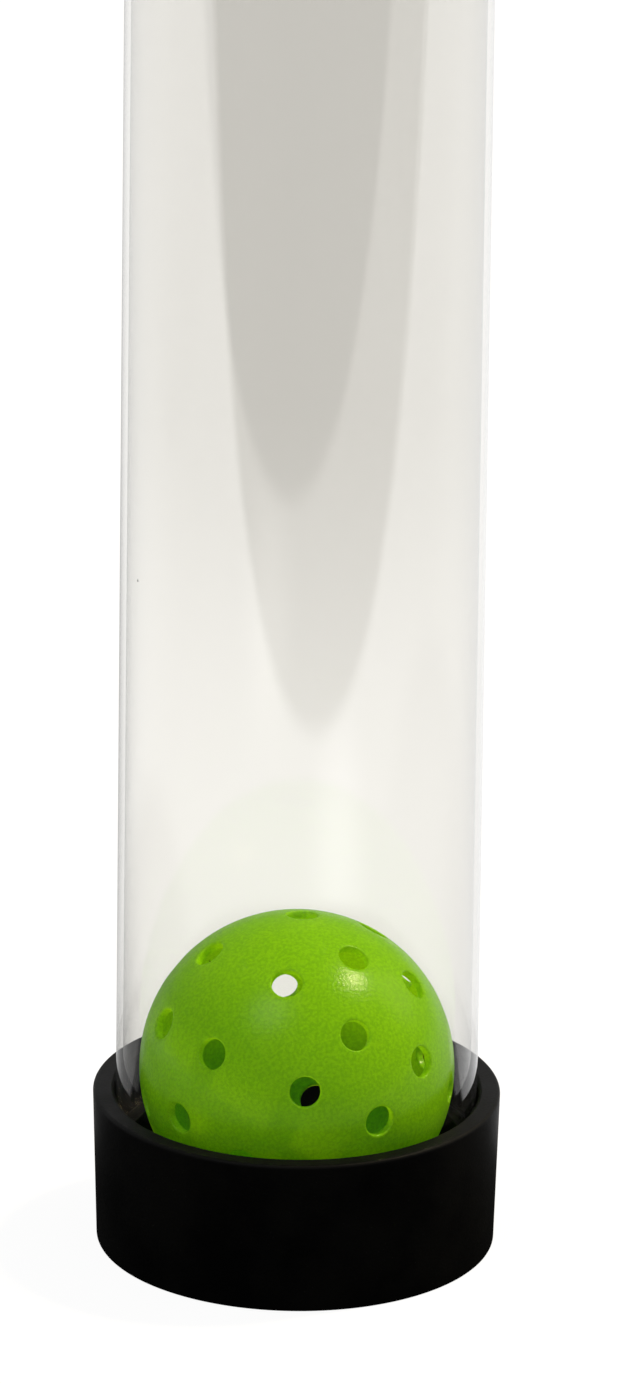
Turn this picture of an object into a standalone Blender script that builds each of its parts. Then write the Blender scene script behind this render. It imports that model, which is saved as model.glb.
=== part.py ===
"""Pickup tube for pickleballs.

A clear tube stands in a black pickup collar. Eight flexible fingers on a ring
inside the collar let a ball in from below and hold it. A second collar at the
top carries a hinged lid with a fold-down carry handle. One ball is in the tube.

The origin is on the ground at the tube's axis, +Z runs up the tube and the
lid's hinge is at +Y. Lengths are in metres.
"""

import math

import bmesh
import bpy
from mathutils import Euler, Matrix, Vector

MM = 0.001

# Fits
GAP = 0.3 * MM  # between pieces that seat on or in each other
SKIRT_GAP = 0.6 * MM  # around the lid's skirt, which swings in and out

# Ball, of the outdoor kind with forty small holes
BALL_DIAMETER = 74.0 * MM
BALL_WALL = 2.0 * MM
BALL_HOLE_DIAMETER = 7.2 * MM
BALL_LIFT = 5.4 * MM  # the resting ball's underside above the ground
BALL_PLAY = 7.5 * MM  # the ball's freedom across the tube's bore

# The ball's holes, three rings on each half: latitude, number, first longitude, in degrees.
# A few holes are drilled a little off their ring's place.
HOLE_COUNTS = (4, 8, 8, 4, 8, 8)
HOLE_ANGLES = (
    (64.9, 50.4),
    (35.7, 39.9),
    (13.5, 18.7),
    (-68.0, 27.9),
    (-41.6, 14.3),
    (-18.4, 40.5),
)
HOLE_DRIFTS = {
    13: (-0.4, -1.2),
    16: (0.0, -1.6),
    17: (-0.3, 1.8),
    24: (0.9, -0.2),
    26: (-0.7, -0.3),
    33: (0.2, -0.9),
    37: (-2.2, 2.4),
}
BALL_ANGLES = (112.0, 30.5, -90.4)  # how the ball lies, about X, Y and Z

# Tube
TUBE_WALL = 1.6 * MM
TUBE_LENGTH = 900.0 * MM

# Pickup collar
COLLAR_HEIGHT = 37.1 * MM
COLLAR_TOP_WALL = 5.05 * MM  # outside the socket for the tube
COLLAR_FOOT_WALL = 4.0 * MM
COLLAR_TOP_ROUND = 0.8 * MM
COLLAR_FOOT_ROUND = 0.6 * MM
COLLAR_LIP_THICKNESS = 1.5 * MM
RIM_CHAMFER = 0.8 * MM

# Retainer ring and its fingers
RING_HEIGHT = 22.2 * MM
RING_WALL = 3.5 * MM
RING_FLOOR = 1.8 * MM  # left under each finger's slot
FINGER_COUNT = 8
FINGER_WIDTH = 12.0 * MM
FINGER_TIP_WIDTH = 9.0 * MM
FINGER_ROOT_THICKNESS = 2.6 * MM
FINGER_TIP_THICKNESS = 1.8 * MM
SLOT_SIDE_GAP = 0.4 * MM

# Top collar and its rivets
TOP_COLLAR_WALL = 4.15 * MM
TOP_COLLAR_GRIP = 30.0 * MM  # how far it reaches down the tube
TOP_COLLAR_NECK = 8.0 * MM  # how far it stands above the tube
TOP_COLLAR_ROUND = 1.5 * MM
RIVET_COUNT = 4
RIVET_DROP = 15.0 * MM  # below the tube's top end
RIVET_DIAMETER = 3.2 * MM
RIVET_HEAD_DIAMETER = 6.4 * MM
RIVET_HEAD_HEIGHT = 1.4 * MM
RIVET_TAIL_DIAMETER = 5.2 * MM
RIVET_TAIL_HEIGHT = 0.7 * MM

# Lid and its hinge
LID_THICKNESS = 3.0 * MM
LID_EDGE_ROUND = 0.8 * MM
LID_SKIRT_DEPTH = 5.0 * MM
LID_SKIRT_WALL = 2.2 * MM
TAB_WIDTH = 26.0 * MM
TAB_CORNER = 6.0 * MM
KNUCKLE_DIAMETER = 7.2 * MM
HINGE_PIN_DIAMETER = 3.0 * MM
HINGE_PIN_OVERHANG = 1.0 * MM
LID_KNUCKLE_WIDTH = 11.4 * MM
EAR_WIDTH = 8.0 * MM
EAR_DEPTH = 13.0 * MM  # down the collar's wall from the hinge axis

# Carry handle
HANDLE_INSET = 7.3 * MM  # from the lid's edge to the bail's centre line
HANDLE_THICKNESS = 6.5 * MM
HANDLE_EYE_DIAMETER = 8.8 * MM
GRIP_DIAMETER = 10.5 * MM
GRIP_ARC = 84.0  # degrees of the bail that the grip covers
LUG_THICKNESS = 4.0 * MM
LUG_ROUND = 4.5 * MM
LUG_FOOT = 12.0 * MM
LUG_SIDE_GAP = 0.5 * MM
HANDLE_PIN_DIAMETER = 3.2 * MM
HANDLE_PIN_HEAD_DIAMETER = 6.4 * MM
HANDLE_PIN_HEAD_HEIGHT = 1.5 * MM

# Mesh fineness
TURN_STEPS = 96
PIN_STEPS = 16
DRILL_STEPS = 12
ROUND_STEPS = 3
WELD = 0.001 * MM
SHARP_ANGLE = math.radians(35.0)

# Places that follow from the sizes
BALL_RADIUS = BALL_DIAMETER / 2
BALL_HEIGHT = BALL_LIFT + BALL_RADIUS
BORE_RADIUS = BALL_RADIUS + BALL_PLAY / 2
TUBE_RADIUS = BORE_RADIUS + TUBE_WALL
SOCKET_RADIUS = TUBE_RADIUS + GAP
RING_BOTTOM = COLLAR_LIP_THICKNESS + GAP
RING_TOP = RING_BOTTOM + RING_HEIGHT
RING_BORE_RADIUS = TUBE_RADIUS - RING_WALL
TUBE_BOTTOM = RING_TOP + GAP
TUBE_TOP = TUBE_BOTTOM + TUBE_LENGTH
KNOB_RADIUS = FINGER_ROOT_THICKNESS / 2
FINGER_AXIS_RADIUS = TUBE_RADIUS - RING_WALL / 2
FINGER_AXIS_HEIGHT = RING_BOTTOM + RING_FLOOR + GAP + KNOB_RADIUS
TOP_COLLAR_RADIUS = SOCKET_RADIUS + TOP_COLLAR_WALL
TOP_COLLAR_TOP = TUBE_TOP + TOP_COLLAR_NECK
RIVET_HEIGHT = TUBE_TOP - RIVET_DROP
LID_BOTTOM = TOP_COLLAR_TOP + GAP
LID_TOP = LID_BOTTOM + LID_THICKNESS
KNUCKLE_RADIUS = KNUCKLE_DIAMETER / 2
HINGE_Y = TOP_COLLAR_RADIUS + GAP + KNUCKLE_RADIUS
HINGE_Z = LID_BOTTOM + LID_THICKNESS / 2
REACH = HINGE_Y + KNUCKLE_RADIUS  # the hinge's and the thumb tab's, from the axis
EAR_INNER_X = LID_KNUCKLE_WIDTH / 2 + GAP
EAR_OUTER_X = EAR_INNER_X + EAR_WIDTH
PIVOT_Z = LID_TOP + GAP + GRIP_DIAMETER / 2
HANDLE_RADIUS = TOP_COLLAR_RADIUS - HANDLE_INSET
HANDLE_INNER_X = HANDLE_RADIUS - HANDLE_THICKNESS / 2
HANDLE_OUTER_X = HANDLE_RADIUS + HANDLE_THICKNESS / 2
LUG_OUTER_X = HANDLE_INNER_X - LUG_SIDE_GAP
LUG_INNER_X = LUG_OUTER_X - LUG_THICKNESS

HINGE_AXIS = Vector((0, HINGE_Y, HINGE_Z))
HANDLE_AXIS = Vector((0, 0, PIVOT_Z))
ALONG_X = Matrix.Rotation(math.radians(90), 4, "Y")


def clear_scene():
    for item in list(bpy.data.objects):
        bpy.data.objects.remove(item, do_unlink=True)


def material(name, colour, roughness, alpha=1.0, metallic=0.0):
    made = bpy.data.materials.new(name)
    made.use_nodes = True
    shader = made.node_tree.nodes["Principled BSDF"]
    shader.inputs["Base Color"].default_value = (*colour, 1.0)
    shader.inputs["Roughness"].default_value = roughness
    shader.inputs["Metallic"].default_value = metallic
    shader.inputs["Alpha"].default_value = alpha
    made.diffuse_color = (*colour, alpha)
    return made


def arc(centre, radius, start, end, steps):
    """Points of an arc about centre, from the angle start to end in degrees."""
    turns = [math.radians(start + (end - start) * i / steps) for i in range(steps + 1)]
    return [
        (centre[0] + radius * math.cos(t), centre[1] + radius * math.sin(t)) for t in turns
    ]


def revolve(profile, closed=True, steps=TURN_STEPS):
    """Turns (radius, height) points about Z. An open profile starts and ends on the axis."""
    bm = bmesh.new()
    verts = [bm.verts.new((r, 0, z)) for r, z in profile]
    pairs = list(zip(verts, verts[1:]))
    if closed:
        pairs.append((verts[-1], verts[0]))
    edges = [bm.edges.new(pair) for pair in pairs]
    bmesh.ops.spin(
        bm,
        geom=verts + edges,
        cent=(0, 0, 0),
        axis=(0, 0, 1),
        angle=math.tau,
        steps=steps,
        use_merge=True,
    )
    bmesh.ops.remove_doubles(bm, verts=bm.verts, dist=WELD)
    return bm


def extrude(outline, start, end):
    """A prism along X, from start to end, on an outline of (y, z) points."""
    bm = bmesh.new()
    face = bm.faces.new([bm.verts.new((start, y, z)) for y, z in outline])
    pushed = bmesh.ops.extrude_face_region(bm, geom=[face])["geom"]
    bmesh.ops.translate(
        bm,
        verts=[item for item in pushed if isinstance(item, bmesh.types.BMVert)],
        vec=(end - start, 0, 0),
    )
    return bm


def rod(radius, start, end, steps=DRILL_STEPS):
    """A plain round bar along Z from start to end."""
    return revolve([(0, start), (radius, start), (radius, end), (0, end)], False, steps)


def moved(bm, matrix):
    bm.transform(matrix)
    return bm


def gather(parts):
    """Puts several separate closed shapes into one mesh."""
    bm = bmesh.new()
    for part in parts:
        mesh = bpy.data.meshes.new("gathered")
        part.to_mesh(mesh)
        part.free()
        bm.from_mesh(mesh)
        bpy.data.meshes.remove(mesh)
    return bm


def outward_mesh(name, bm):
    bmesh.ops.recalc_face_normals(bm, faces=bm.faces)
    mesh = bpy.data.meshes.new(name)
    bm.to_mesh(mesh)
    bm.free()
    mesh.shade_smooth()
    mesh.set_sharp_from_angle(angle=SHARP_ANGLE)
    return mesh


def place(name, mesh, origin=(0, 0, 0), turn=(0, 0, 0), parent=None):
    piece = bpy.data.objects.new(name, mesh)
    bpy.context.scene.collection.objects.link(piece)
    piece.parent = parent
    piece.location = Vector(origin) - (parent.location if parent else Vector())
    piece.rotation_euler = turn
    return piece


def piece_from(name, bm, finish, origin=(0, 0, 0), parent=None):
    """A piece drawn in world coordinates, with its object's origin at origin."""
    bm.transform(Matrix.Translation(-Vector(origin)))
    mesh = outward_mesh(name, bm)
    mesh.materials.append(finish)
    return place(name, mesh, origin, parent=parent)


def tool(name, bm):
    """A shape that is only cut from, or added to, other pieces."""
    shape = place(name, outward_mesh(name, bm))
    shape.hide_render = True
    shape.display_type = "WIRE"
    return shape


def combine(piece, shape, operation):
    step = piece.modifiers.new(shape.name, "BOOLEAN")
    step.operation = operation
    step.solver = "EXACT"
    step.object = shape


def ball_hole_directions():
    """Unit vectors to the ball's holes, in the ball's own frame."""
    places = [
        (latitude, first + 360.0 * i / count)
        for count, (latitude, first) in zip(HOLE_COUNTS, HOLE_ANGLES)
        for i in range(count)
    ]
    for i, (latitude, longitude) in enumerate(places):
        north, east = HOLE_DRIFTS.get(i, (0.0, 0.0))
        lat = math.radians(latitude + north)
        lon = math.radians(longitude + east)
        yield Vector((math.cos(lat) * math.cos(lon), math.cos(lat) * math.sin(lon), math.sin(lat)))


def make_ball(finish):
    """A hollow shell, whose forty drilled holes join its outside to its inside."""
    shell = bmesh.new()
    bmesh.ops.create_icosphere(shell, subdivisions=4, radius=BALL_RADIUS)
    outside = len(shell.faces)
    bmesh.ops.create_icosphere(shell, subdivisions=3, radius=BALL_RADIUS - BALL_WALL)
    shell.faces.ensure_lookup_table()
    bmesh.ops.reverse_faces(shell, faces=shell.faces[outside:])
    mesh = bpy.data.meshes.new("pickleball")
    shell.to_mesh(mesh)
    shell.free()
    mesh.shade_smooth()
    mesh.materials.append(finish)

    turn = Euler([math.radians(angle) for angle in BALL_ANGLES])
    ball = place("pickleball", mesh, (0, 0, BALL_HEIGHT), turn)
    drills = [
        moved(
            rod(BALL_HOLE_DIAMETER / 2, BALL_RADIUS - 3 * BALL_WALL, BALL_RADIUS + BALL_WALL),
            direction.to_track_quat("Z", "Y").to_matrix().to_4x4(),
        )
        for direction in ball_hole_directions()
    ]
    drill = tool("ball_drills", gather(drills))
    drill.location = ball.location
    drill.rotation_euler = turn
    combine(ball, drill, "DIFFERENCE")


def make_tube(finish, rivet_drills):
    profile = [
        (BORE_RADIUS, TUBE_BOTTOM),
        (TUBE_RADIUS, TUBE_BOTTOM),
        (TUBE_RADIUS, TUBE_TOP),
        (BORE_RADIUS, TUBE_TOP),
    ]
    tube = piece_from("clear_tube", revolve(profile), finish)
    combine(tube, rivet_drills, "DIFFERENCE")


def make_pickup_collar(finish):
    """A slightly flared ring with a socket for the tube and a lip under the retainer."""
    foot = SOCKET_RADIUS + COLLAR_FOOT_WALL - COLLAR_FOOT_ROUND
    top = SOCKET_RADIUS + COLLAR_TOP_WALL - COLLAR_TOP_ROUND
    lip = RING_BORE_RADIUS
    profile = arc((foot, COLLAR_FOOT_ROUND), COLLAR_FOOT_ROUND, -90, 0, ROUND_STEPS)
    profile += arc(
        (top, COLLAR_HEIGHT - COLLAR_TOP_ROUND), COLLAR_TOP_ROUND, 0, 90, ROUND_STEPS
    )
    profile += [
        (SOCKET_RADIUS + RIM_CHAMFER, COLLAR_HEIGHT),
        (SOCKET_RADIUS, COLLAR_HEIGHT - RIM_CHAMFER),
        (SOCKET_RADIUS, COLLAR_LIP_THICKNESS),
        (lip, COLLAR_LIP_THICKNESS),
        (lip, COLLAR_LIP_THICKNESS / 2),
        (lip + COLLAR_LIP_THICKNESS / 2, 0),
    ]
    piece_from("pickup_collar", revolve(profile), finish)


def make_retainer_ring(finish):
    """A castellated ring that fills the collar's socket below the tube."""
    profile = [
        (RING_BORE_RADIUS, RING_BOTTOM),
        (TUBE_RADIUS, RING_BOTTOM),
        (TUBE_RADIUS, RING_TOP),
        (RING_BORE_RADIUS, RING_TOP),
    ]
    ring = piece_from("retainer_ring", revolve(profile), finish)
    half = FINGER_WIDTH / 2 + SLOT_SIDE_GAP
    floor = RING_BOTTOM + RING_FLOOR
    roof = RING_TOP + RING_FLOOR
    outline = [(-half, floor), (half, floor), (half, roof), (-half, roof)]
    slots = [
        moved(
            extrude(outline, RING_BORE_RADIUS - RING_WALL, TUBE_RADIUS + RING_WALL),
            Matrix.Rotation(math.tau * i / FINGER_COUNT, 4, "Z"),
        )
        for i in range(FINGER_COUNT)
    ]
    combine(ring, tool("finger_slots", gather(slots)), "DIFFERENCE")


def finger_mesh(finish):
    """One finger, with its origin on its hinge axis and +X pointing out of the tube.

    It points at the centre of the ball that it carries, so that it is a strut under the
    ball's weight, and swings up and out of a ball's way without touching the one above.
    """
    rise = BALL_HEIGHT - FINGER_AXIS_HEIGHT
    slope = math.degrees(math.atan2(rise, -FINGER_AXIS_RADIUS))
    tip_round = FINGER_TIP_THICKNESS / 2
    length = math.hypot(rise, FINGER_AXIS_RADIUS) - BALL_RADIUS - GAP
    outline = arc((0, 0), KNOB_RADIUS, 90, 270, 4 * ROUND_STEPS)
    outline += arc((length - tip_round, 0), tip_round, -90, 90, 2 * ROUND_STEPS)
    bm = extrude(outline, -FINGER_WIDTH / 2, FINGER_WIDTH / 2)
    narrowing = 1 - FINGER_TIP_WIDTH / FINGER_WIDTH
    for vert in bm.verts:
        along = max(0.0, vert.co.y) / length
        vert.co.x *= 1 - narrowing * along
    blade_to_x = Matrix.Rotation(math.radians(-90), 4, "Z")
    raise_blade = Matrix.Rotation(math.radians(-slope), 4, "Y")
    bm.transform(raise_blade @ blade_to_x)
    mesh = outward_mesh("retainer_finger", bm)
    mesh.materials.append(finish)
    return mesh


def make_fingers(finish):
    mesh = finger_mesh(finish)
    for i in range(FINGER_COUNT):
        angle = math.tau * i / FINGER_COUNT
        origin = (
            FINGER_AXIS_RADIUS * math.cos(angle),
            FINGER_AXIS_RADIUS * math.sin(angle),
            FINGER_AXIS_HEIGHT,
        )
        place(f"retainer_finger_{i + 1}", mesh, origin, (0, 0, angle))


def rivet_turn(index):
    """Turns a shape that points up +Z to point out of the tube at this rivet."""
    return Matrix.Rotation(math.tau * index / RIVET_COUNT, 4, "Z") @ ALONG_X


def make_rivet_drills():
    radius = RIVET_DIAMETER / 2 + GAP
    at_rivets = Matrix.Translation((0, 0, RIVET_HEIGHT))
    drills = [
        moved(
            rod(radius, BORE_RADIUS - TUBE_WALL, TOP_COLLAR_RADIUS + TUBE_WALL),
            at_rivets @ rivet_turn(i),
        )
        for i in range(RIVET_COUNT)
    ]
    return tool("rivet_drills", gather(drills))


def make_rivets(finish):
    """Dome-headed rivets through the top collar and the tube's wall."""
    shank = RIVET_DIAMETER / 2
    head = RIVET_HEAD_DIAMETER / 2
    tail = RIVET_TAIL_DIAMETER / 2
    under_head = TOP_COLLAR_RADIUS + GAP
    under_tail = BORE_RADIUS - GAP
    dome = [
        (head * math.cos(t), under_head + RIVET_HEAD_HEIGHT * math.sin(t))
        for t in (math.radians(90.0 * i / ROUND_STEPS) for i in range(ROUND_STEPS))
    ]
    profile = [
        (0, under_tail - RIVET_TAIL_HEIGHT),
        (tail, under_tail - RIVET_TAIL_HEIGHT),
        (tail, under_tail),
        (shank, under_tail),
        (shank, under_head),
        *dome,
        (0, under_head + RIVET_HEAD_HEIGHT),
    ]
    for i in range(RIVET_COUNT):
        bm = moved(revolve(profile, False, DRILL_STEPS), rivet_turn(i))
        bm.transform(Matrix.Translation((0, 0, RIVET_HEIGHT)))
        piece_from(f"collar_rivet_{i + 1}", bm, finish)


def hinge_pin_drill():
    reach = EAR_OUTER_X + KNUCKLE_RADIUS
    drill = rod(HINGE_PIN_DIAMETER / 2 + GAP, -reach, reach)
    return moved(drill, Matrix.Translation(HINGE_AXIS) @ ALONG_X)


def ear_outline():
    """An ear's side view: a knuckle on a bracket that runs down the collar's wall."""
    root = TOP_COLLAR_RADIUS - TOP_COLLAR_WALL / 2
    shoulder = TOP_COLLAR_TOP - GAP
    outline = arc((HINGE_Y, HINGE_Z), KNUCKLE_RADIUS, -60, 200, 4 * ROUND_STEPS)
    outline += [
        (TOP_COLLAR_RADIUS - GAP, shoulder),
        (root, shoulder),
        (root, HINGE_Z - EAR_DEPTH),
        (TOP_COLLAR_RADIUS + GAP, HINGE_Z - EAR_DEPTH),
    ]
    return outline


def make_top_collar(finish, rivet_drills):
    """A ring over the tube's top end, with two ears for the lid's hinge."""
    low = TUBE_TOP - TOP_COLLAR_GRIP
    edge = TOP_COLLAR_ROUND
    profile = [(SOCKET_RADIUS, low)]
    profile += arc((TOP_COLLAR_RADIUS - edge, low + edge), edge, -90, 0, ROUND_STEPS)
    profile += [
        (TOP_COLLAR_RADIUS, TOP_COLLAR_TOP),
        (BORE_RADIUS, TOP_COLLAR_TOP),
        (BORE_RADIUS, TUBE_TOP + GAP),
        (SOCKET_RADIUS, TUBE_TOP + GAP),
    ]
    collar = piece_from("top_collar", revolve(profile), finish)
    ears = gather(
        [
            extrude(ear_outline(), EAR_INNER_X, EAR_OUTER_X),
            extrude(ear_outline(), -EAR_OUTER_X, -EAR_INNER_X),
        ]
    )
    combine(collar, tool("hinge_ears", ears), "UNION")
    combine(collar, rivet_drills, "DIFFERENCE")
    combine(collar, tool("ear_drill", hinge_pin_drill()), "DIFFERENCE")


def make_hinge_pin(finish):
    reach = EAR_OUTER_X + HINGE_PIN_OVERHANG
    pin = rod(HINGE_PIN_DIAMETER / 2, -reach, reach, PIN_STEPS)
    pin.transform(Matrix.Translation(HINGE_AXIS) @ ALONG_X)
    piece_from("lid_hinge_pin", pin, finish, HINGE_AXIS)


def lid_tongue():
    """The lid's own knuckle, with the tongue that joins it to the disc."""
    root = TOP_COLLAR_RADIUS - LID_SKIRT_WALL
    angle = math.degrees(math.asin(LID_THICKNESS / 2 / KNUCKLE_RADIUS))
    outline = arc(
        (HINGE_Y, HINGE_Z), KNUCKLE_RADIUS, angle - 180, 180 - angle, 5 * ROUND_STEPS
    )
    outline += [(root, LID_TOP), (root, LID_BOTTOM)]
    return extrude(outline, -LID_KNUCKLE_WIDTH / 2, LID_KNUCKLE_WIDTH / 2)


def thumb_tab():
    """A flat tab with round corners, drawn from above and raised to the lid's thickness."""
    half = TAB_WIDTH / 2 - TAB_CORNER
    front = TAB_CORNER - REACH
    outline = arc((-half, front), TAB_CORNER, 180, 270, ROUND_STEPS)
    outline += arc((half, front), TAB_CORNER, 270, 360, ROUND_STEPS)
    root = -math.sqrt((TOP_COLLAR_RADIUS - LID_SKIRT_WALL) ** 2 - (TAB_WIDTH / 2) ** 2)
    outline += [(TAB_WIDTH / 2, root), (-TAB_WIDTH / 2, root)]
    tab = extrude(outline, 0, LID_THICKNESS)
    upright = Matrix(((0, 1, 0, 0), (0, 0, 1, 0), (1, 0, 0, LID_BOTTOM), (0, 0, 0, 1)))
    return moved(tab, upright)


def handle_lug(side):
    """An upright plate on the lid that holds one end of the handle's pivot."""
    outline = arc((0, PIVOT_Z), LUG_ROUND, 0, 180, 3 * ROUND_STEPS)
    sunk = LID_TOP - LID_THICKNESS / 2
    outline += [(-LUG_FOOT / 2, LID_TOP), (-LUG_FOOT / 2, sunk)]
    outline += [(LUG_FOOT / 2, sunk), (LUG_FOOT / 2, LID_TOP)]
    return extrude(outline, *sorted((side * LUG_INNER_X, side * LUG_OUTER_X)))


def handle_pin_drill(side):
    radius = HANDLE_PIN_DIAMETER / 2 + GAP
    low, high = LUG_INNER_X - LUG_THICKNESS, HANDLE_OUTER_X + LUG_THICKNESS
    drill = rod(radius, *sorted((side * low, side * high)))
    return moved(drill, Matrix.Translation(HANDLE_AXIS) @ ALONG_X)


def make_lid(finish):
    """A disc with a skirt that fills the collar's mouth, a thumb tab and two lugs."""
    radius = TOP_COLLAR_RADIUS
    edge = LID_EDGE_ROUND
    skirt = BORE_RADIUS - SKIRT_GAP
    skirt_bottom = LID_BOTTOM - LID_SKIRT_DEPTH
    profile = [
        (0, LID_BOTTOM),
        (skirt - LID_SKIRT_WALL, LID_BOTTOM),
        (skirt - LID_SKIRT_WALL, skirt_bottom),
        (skirt - edge, skirt_bottom),
        (skirt, skirt_bottom + edge),
        (skirt, LID_BOTTOM),
        (radius, LID_BOTTOM),
        *arc((radius - edge, LID_TOP - edge), edge, 0, 90, ROUND_STEPS),
        (0, LID_TOP),
    ]
    lid = piece_from("lid", revolve(profile, False), finish, HINGE_AXIS)
    added = gather([lid_tongue(), thumb_tab(), handle_lug(1), handle_lug(-1)])
    drills = gather([hinge_pin_drill(), handle_pin_drill(1), handle_pin_drill(-1)])
    combine(lid, tool("lid_fittings", added), "UNION")
    combine(lid, tool("lid_drills", drills), "DIFFERENCE")
    return lid


def bail_sweep(section, start, end, steps):
    """Sweeps a closed (radius, height) section about the lid's centre, with flat ends."""
    bm = bmesh.new()
    verts = [bm.verts.new((r, 0, z)) for r, z in section]
    face = bm.faces.new(verts)
    bmesh.ops.rotate(
        bm, verts=bm.verts, matrix=Matrix.Rotation(math.radians(start), 3, "Z")
    )
    bmesh.ops.spin(
        bm,
        geom=[face],
        cent=(0, 0, 0),
        axis=(0, 0, 1),
        angle=math.radians(end - start),
        steps=steps,
    )
    return bm


def round_section(diameter, steps):
    return arc((HANDLE_RADIUS, PIVOT_Z), diameter / 2, 0, 360, steps)[:-1]


def make_handle(finish, lid):
    """A half-ring bail, folded forward on the lid, with an eye at each end."""
    bail = bail_sweep(round_section(HANDLE_THICKNESS, DRILL_STEPS), -180, 0, 30)
    handle = piece_from("carry_handle", bail, finish, HANDLE_AXIS, lid)
    at_pivot = Matrix.Translation(HANDLE_AXIS) @ ALONG_X
    radius = HANDLE_EYE_DIAMETER / 2
    eyes = [
        moved(rod(radius, HANDLE_INNER_X, HANDLE_OUTER_X, PIN_STEPS), at_pivot),
        moved(rod(radius, -HANDLE_OUTER_X, -HANDLE_INNER_X, PIN_STEPS), at_pivot),
    ]
    drills = [handle_pin_drill(1), handle_pin_drill(-1)]
    combine(handle, tool("handle_eyes", gather(eyes)), "UNION")
    combine(handle, tool("handle_drills", gather(drills)), "DIFFERENCE")
    return handle


def make_grip(finish, lid):
    """A soft sleeve around the middle of the bail."""
    start, end = -90 - GRIP_ARC / 2, -90 + GRIP_ARC / 2
    grip = bail_sweep(round_section(GRIP_DIAMETER, DRILL_STEPS), start, end, 14)
    sleeve = piece_from("handle_grip", grip, finish, HANDLE_AXIS, lid)
    bore = bail_sweep(
        round_section(HANDLE_THICKNESS + 2 * GAP, DRILL_STEPS), start - 4, end + 4, 18
    )
    combine(sleeve, tool("grip_bore", bore), "DIFFERENCE")


def make_handle_pins(finish, lid):
    """Headed pins, each through an eye of the handle and a lug of the lid."""
    shank = HANDLE_PIN_DIAMETER / 2
    head = HANDLE_PIN_HEAD_DIAMETER / 2
    under_head = HANDLE_OUTER_X + GAP
    profile = [
        (0, LUG_INNER_X - GAP),
        (shank, LUG_INNER_X - GAP),
        (shank, under_head),
        (head, under_head),
        (head, under_head + HANDLE_PIN_HEAD_HEIGHT / 2),
        (head / 2, under_head + HANDLE_PIN_HEAD_HEIGHT),
        (0, under_head + HANDLE_PIN_HEAD_HEIGHT),
    ]
    for name, angle in (("handle_pin_right", 0), ("handle_pin_left", 180)):
        pin = moved(revolve(profile, False, DRILL_STEPS), ALONG_X)
        pin.transform(Matrix.Rotation(math.radians(angle), 4, "Z"))
        pin.transform(Matrix.Translation(HANDLE_AXIS))
        piece_from(name, pin, finish, HANDLE_AXIS, lid)


def build():
    clear_scene()
    clear_plastic = material("clear_plastic", (0.9, 0.9, 0.88), 0.05, alpha=0.3)
    black_rubber = material("black_rubber", (0.012, 0.012, 0.012), 0.55)
    black_plastic = material("black_plastic", (0.02, 0.02, 0.022), 0.4)
    ball_plastic = material("ball_plastic", (0.16, 0.38, 0.01), 0.35)
    grip_foam = material("grip_foam", (0.05, 0.05, 0.05), 0.9)
    steel = material("steel", (0.6, 0.6, 0.6), 0.3, metallic=1.0)

    rivet_drills = make_rivet_drills()
    make_tube(clear_plastic, rivet_drills)
    make_pickup_collar(black_rubber)
    make_retainer_ring(black_plastic)
    make_fingers(black_plastic)
    make_ball(ball_plastic)
    make_top_collar(black_plastic, rivet_drills)
    make_rivets(steel)
    make_hinge_pin(steel)
    lid = make_lid(black_plastic)
    make_handle(black_plastic, lid)
    make_grip(grip_foam, lid)
    make_handle_pins(steel, lid)


build()
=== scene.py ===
"""Looks for the pickleball pickup tube: finer meshes, materials, stage, lamps and camera.

Everything is in metres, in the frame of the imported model: the origin is on the ground
at the tube's axis, and +Z runs up the tube.
"""

import math

import bmesh
import bpy
from mathutils import Euler, Matrix, Vector


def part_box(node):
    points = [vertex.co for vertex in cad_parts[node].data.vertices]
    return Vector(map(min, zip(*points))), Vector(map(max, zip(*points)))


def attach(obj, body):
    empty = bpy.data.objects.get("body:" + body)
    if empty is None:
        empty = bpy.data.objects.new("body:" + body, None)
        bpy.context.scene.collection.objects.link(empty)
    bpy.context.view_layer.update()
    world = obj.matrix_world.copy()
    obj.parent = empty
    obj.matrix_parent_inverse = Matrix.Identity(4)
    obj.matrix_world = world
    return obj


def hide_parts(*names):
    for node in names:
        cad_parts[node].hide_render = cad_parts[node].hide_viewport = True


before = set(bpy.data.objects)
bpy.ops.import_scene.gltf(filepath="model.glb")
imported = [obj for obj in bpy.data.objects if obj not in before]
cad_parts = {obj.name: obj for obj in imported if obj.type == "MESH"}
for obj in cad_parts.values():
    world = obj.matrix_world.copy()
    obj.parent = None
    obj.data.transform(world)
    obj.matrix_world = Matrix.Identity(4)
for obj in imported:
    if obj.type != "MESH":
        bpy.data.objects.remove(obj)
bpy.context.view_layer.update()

MM = 0.001
SIDES = (1, -1)
WHITE = (1.0, 1.0, 1.0, 1.0)

# Mesh fineness
TURN_STEPS = 240  # of a ring about the tube's axis
ROUND_STEPS = 5  # of a rounded edge
WIDE_ROUND_STEPS = 8
BLUNT_ROUND_STEPS = 3
PIN_STEPS = 48
ROD_STEPS = 32
EASED_STEPS = 4
WELD = 0.001 * MM
SUPPORT = 0.2 * MM
SHARP_ANGLE = math.radians(35.0)

# Tube and pickup collar, as their solids
GAP = 0.3 * MM
SKIRT_GAP = 0.6 * MM
TUBE_WALL = 1.6 * MM
TUBE_END_ROUND = 0.25 * MM
COLLAR_TOP_WALL = 5.05 * MM
COLLAR_FOOT_WALL = 4.0 * MM
COLLAR_TOP_ROUND = 0.8 * MM
COLLAR_FOOT_ROUND = 0.6 * MM
COLLAR_LIP_THICKNESS = 1.5 * MM
RIM_CHAMFER = 0.8 * MM
RIM_CHAMFER_ROUND = 0.3 * MM

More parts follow.
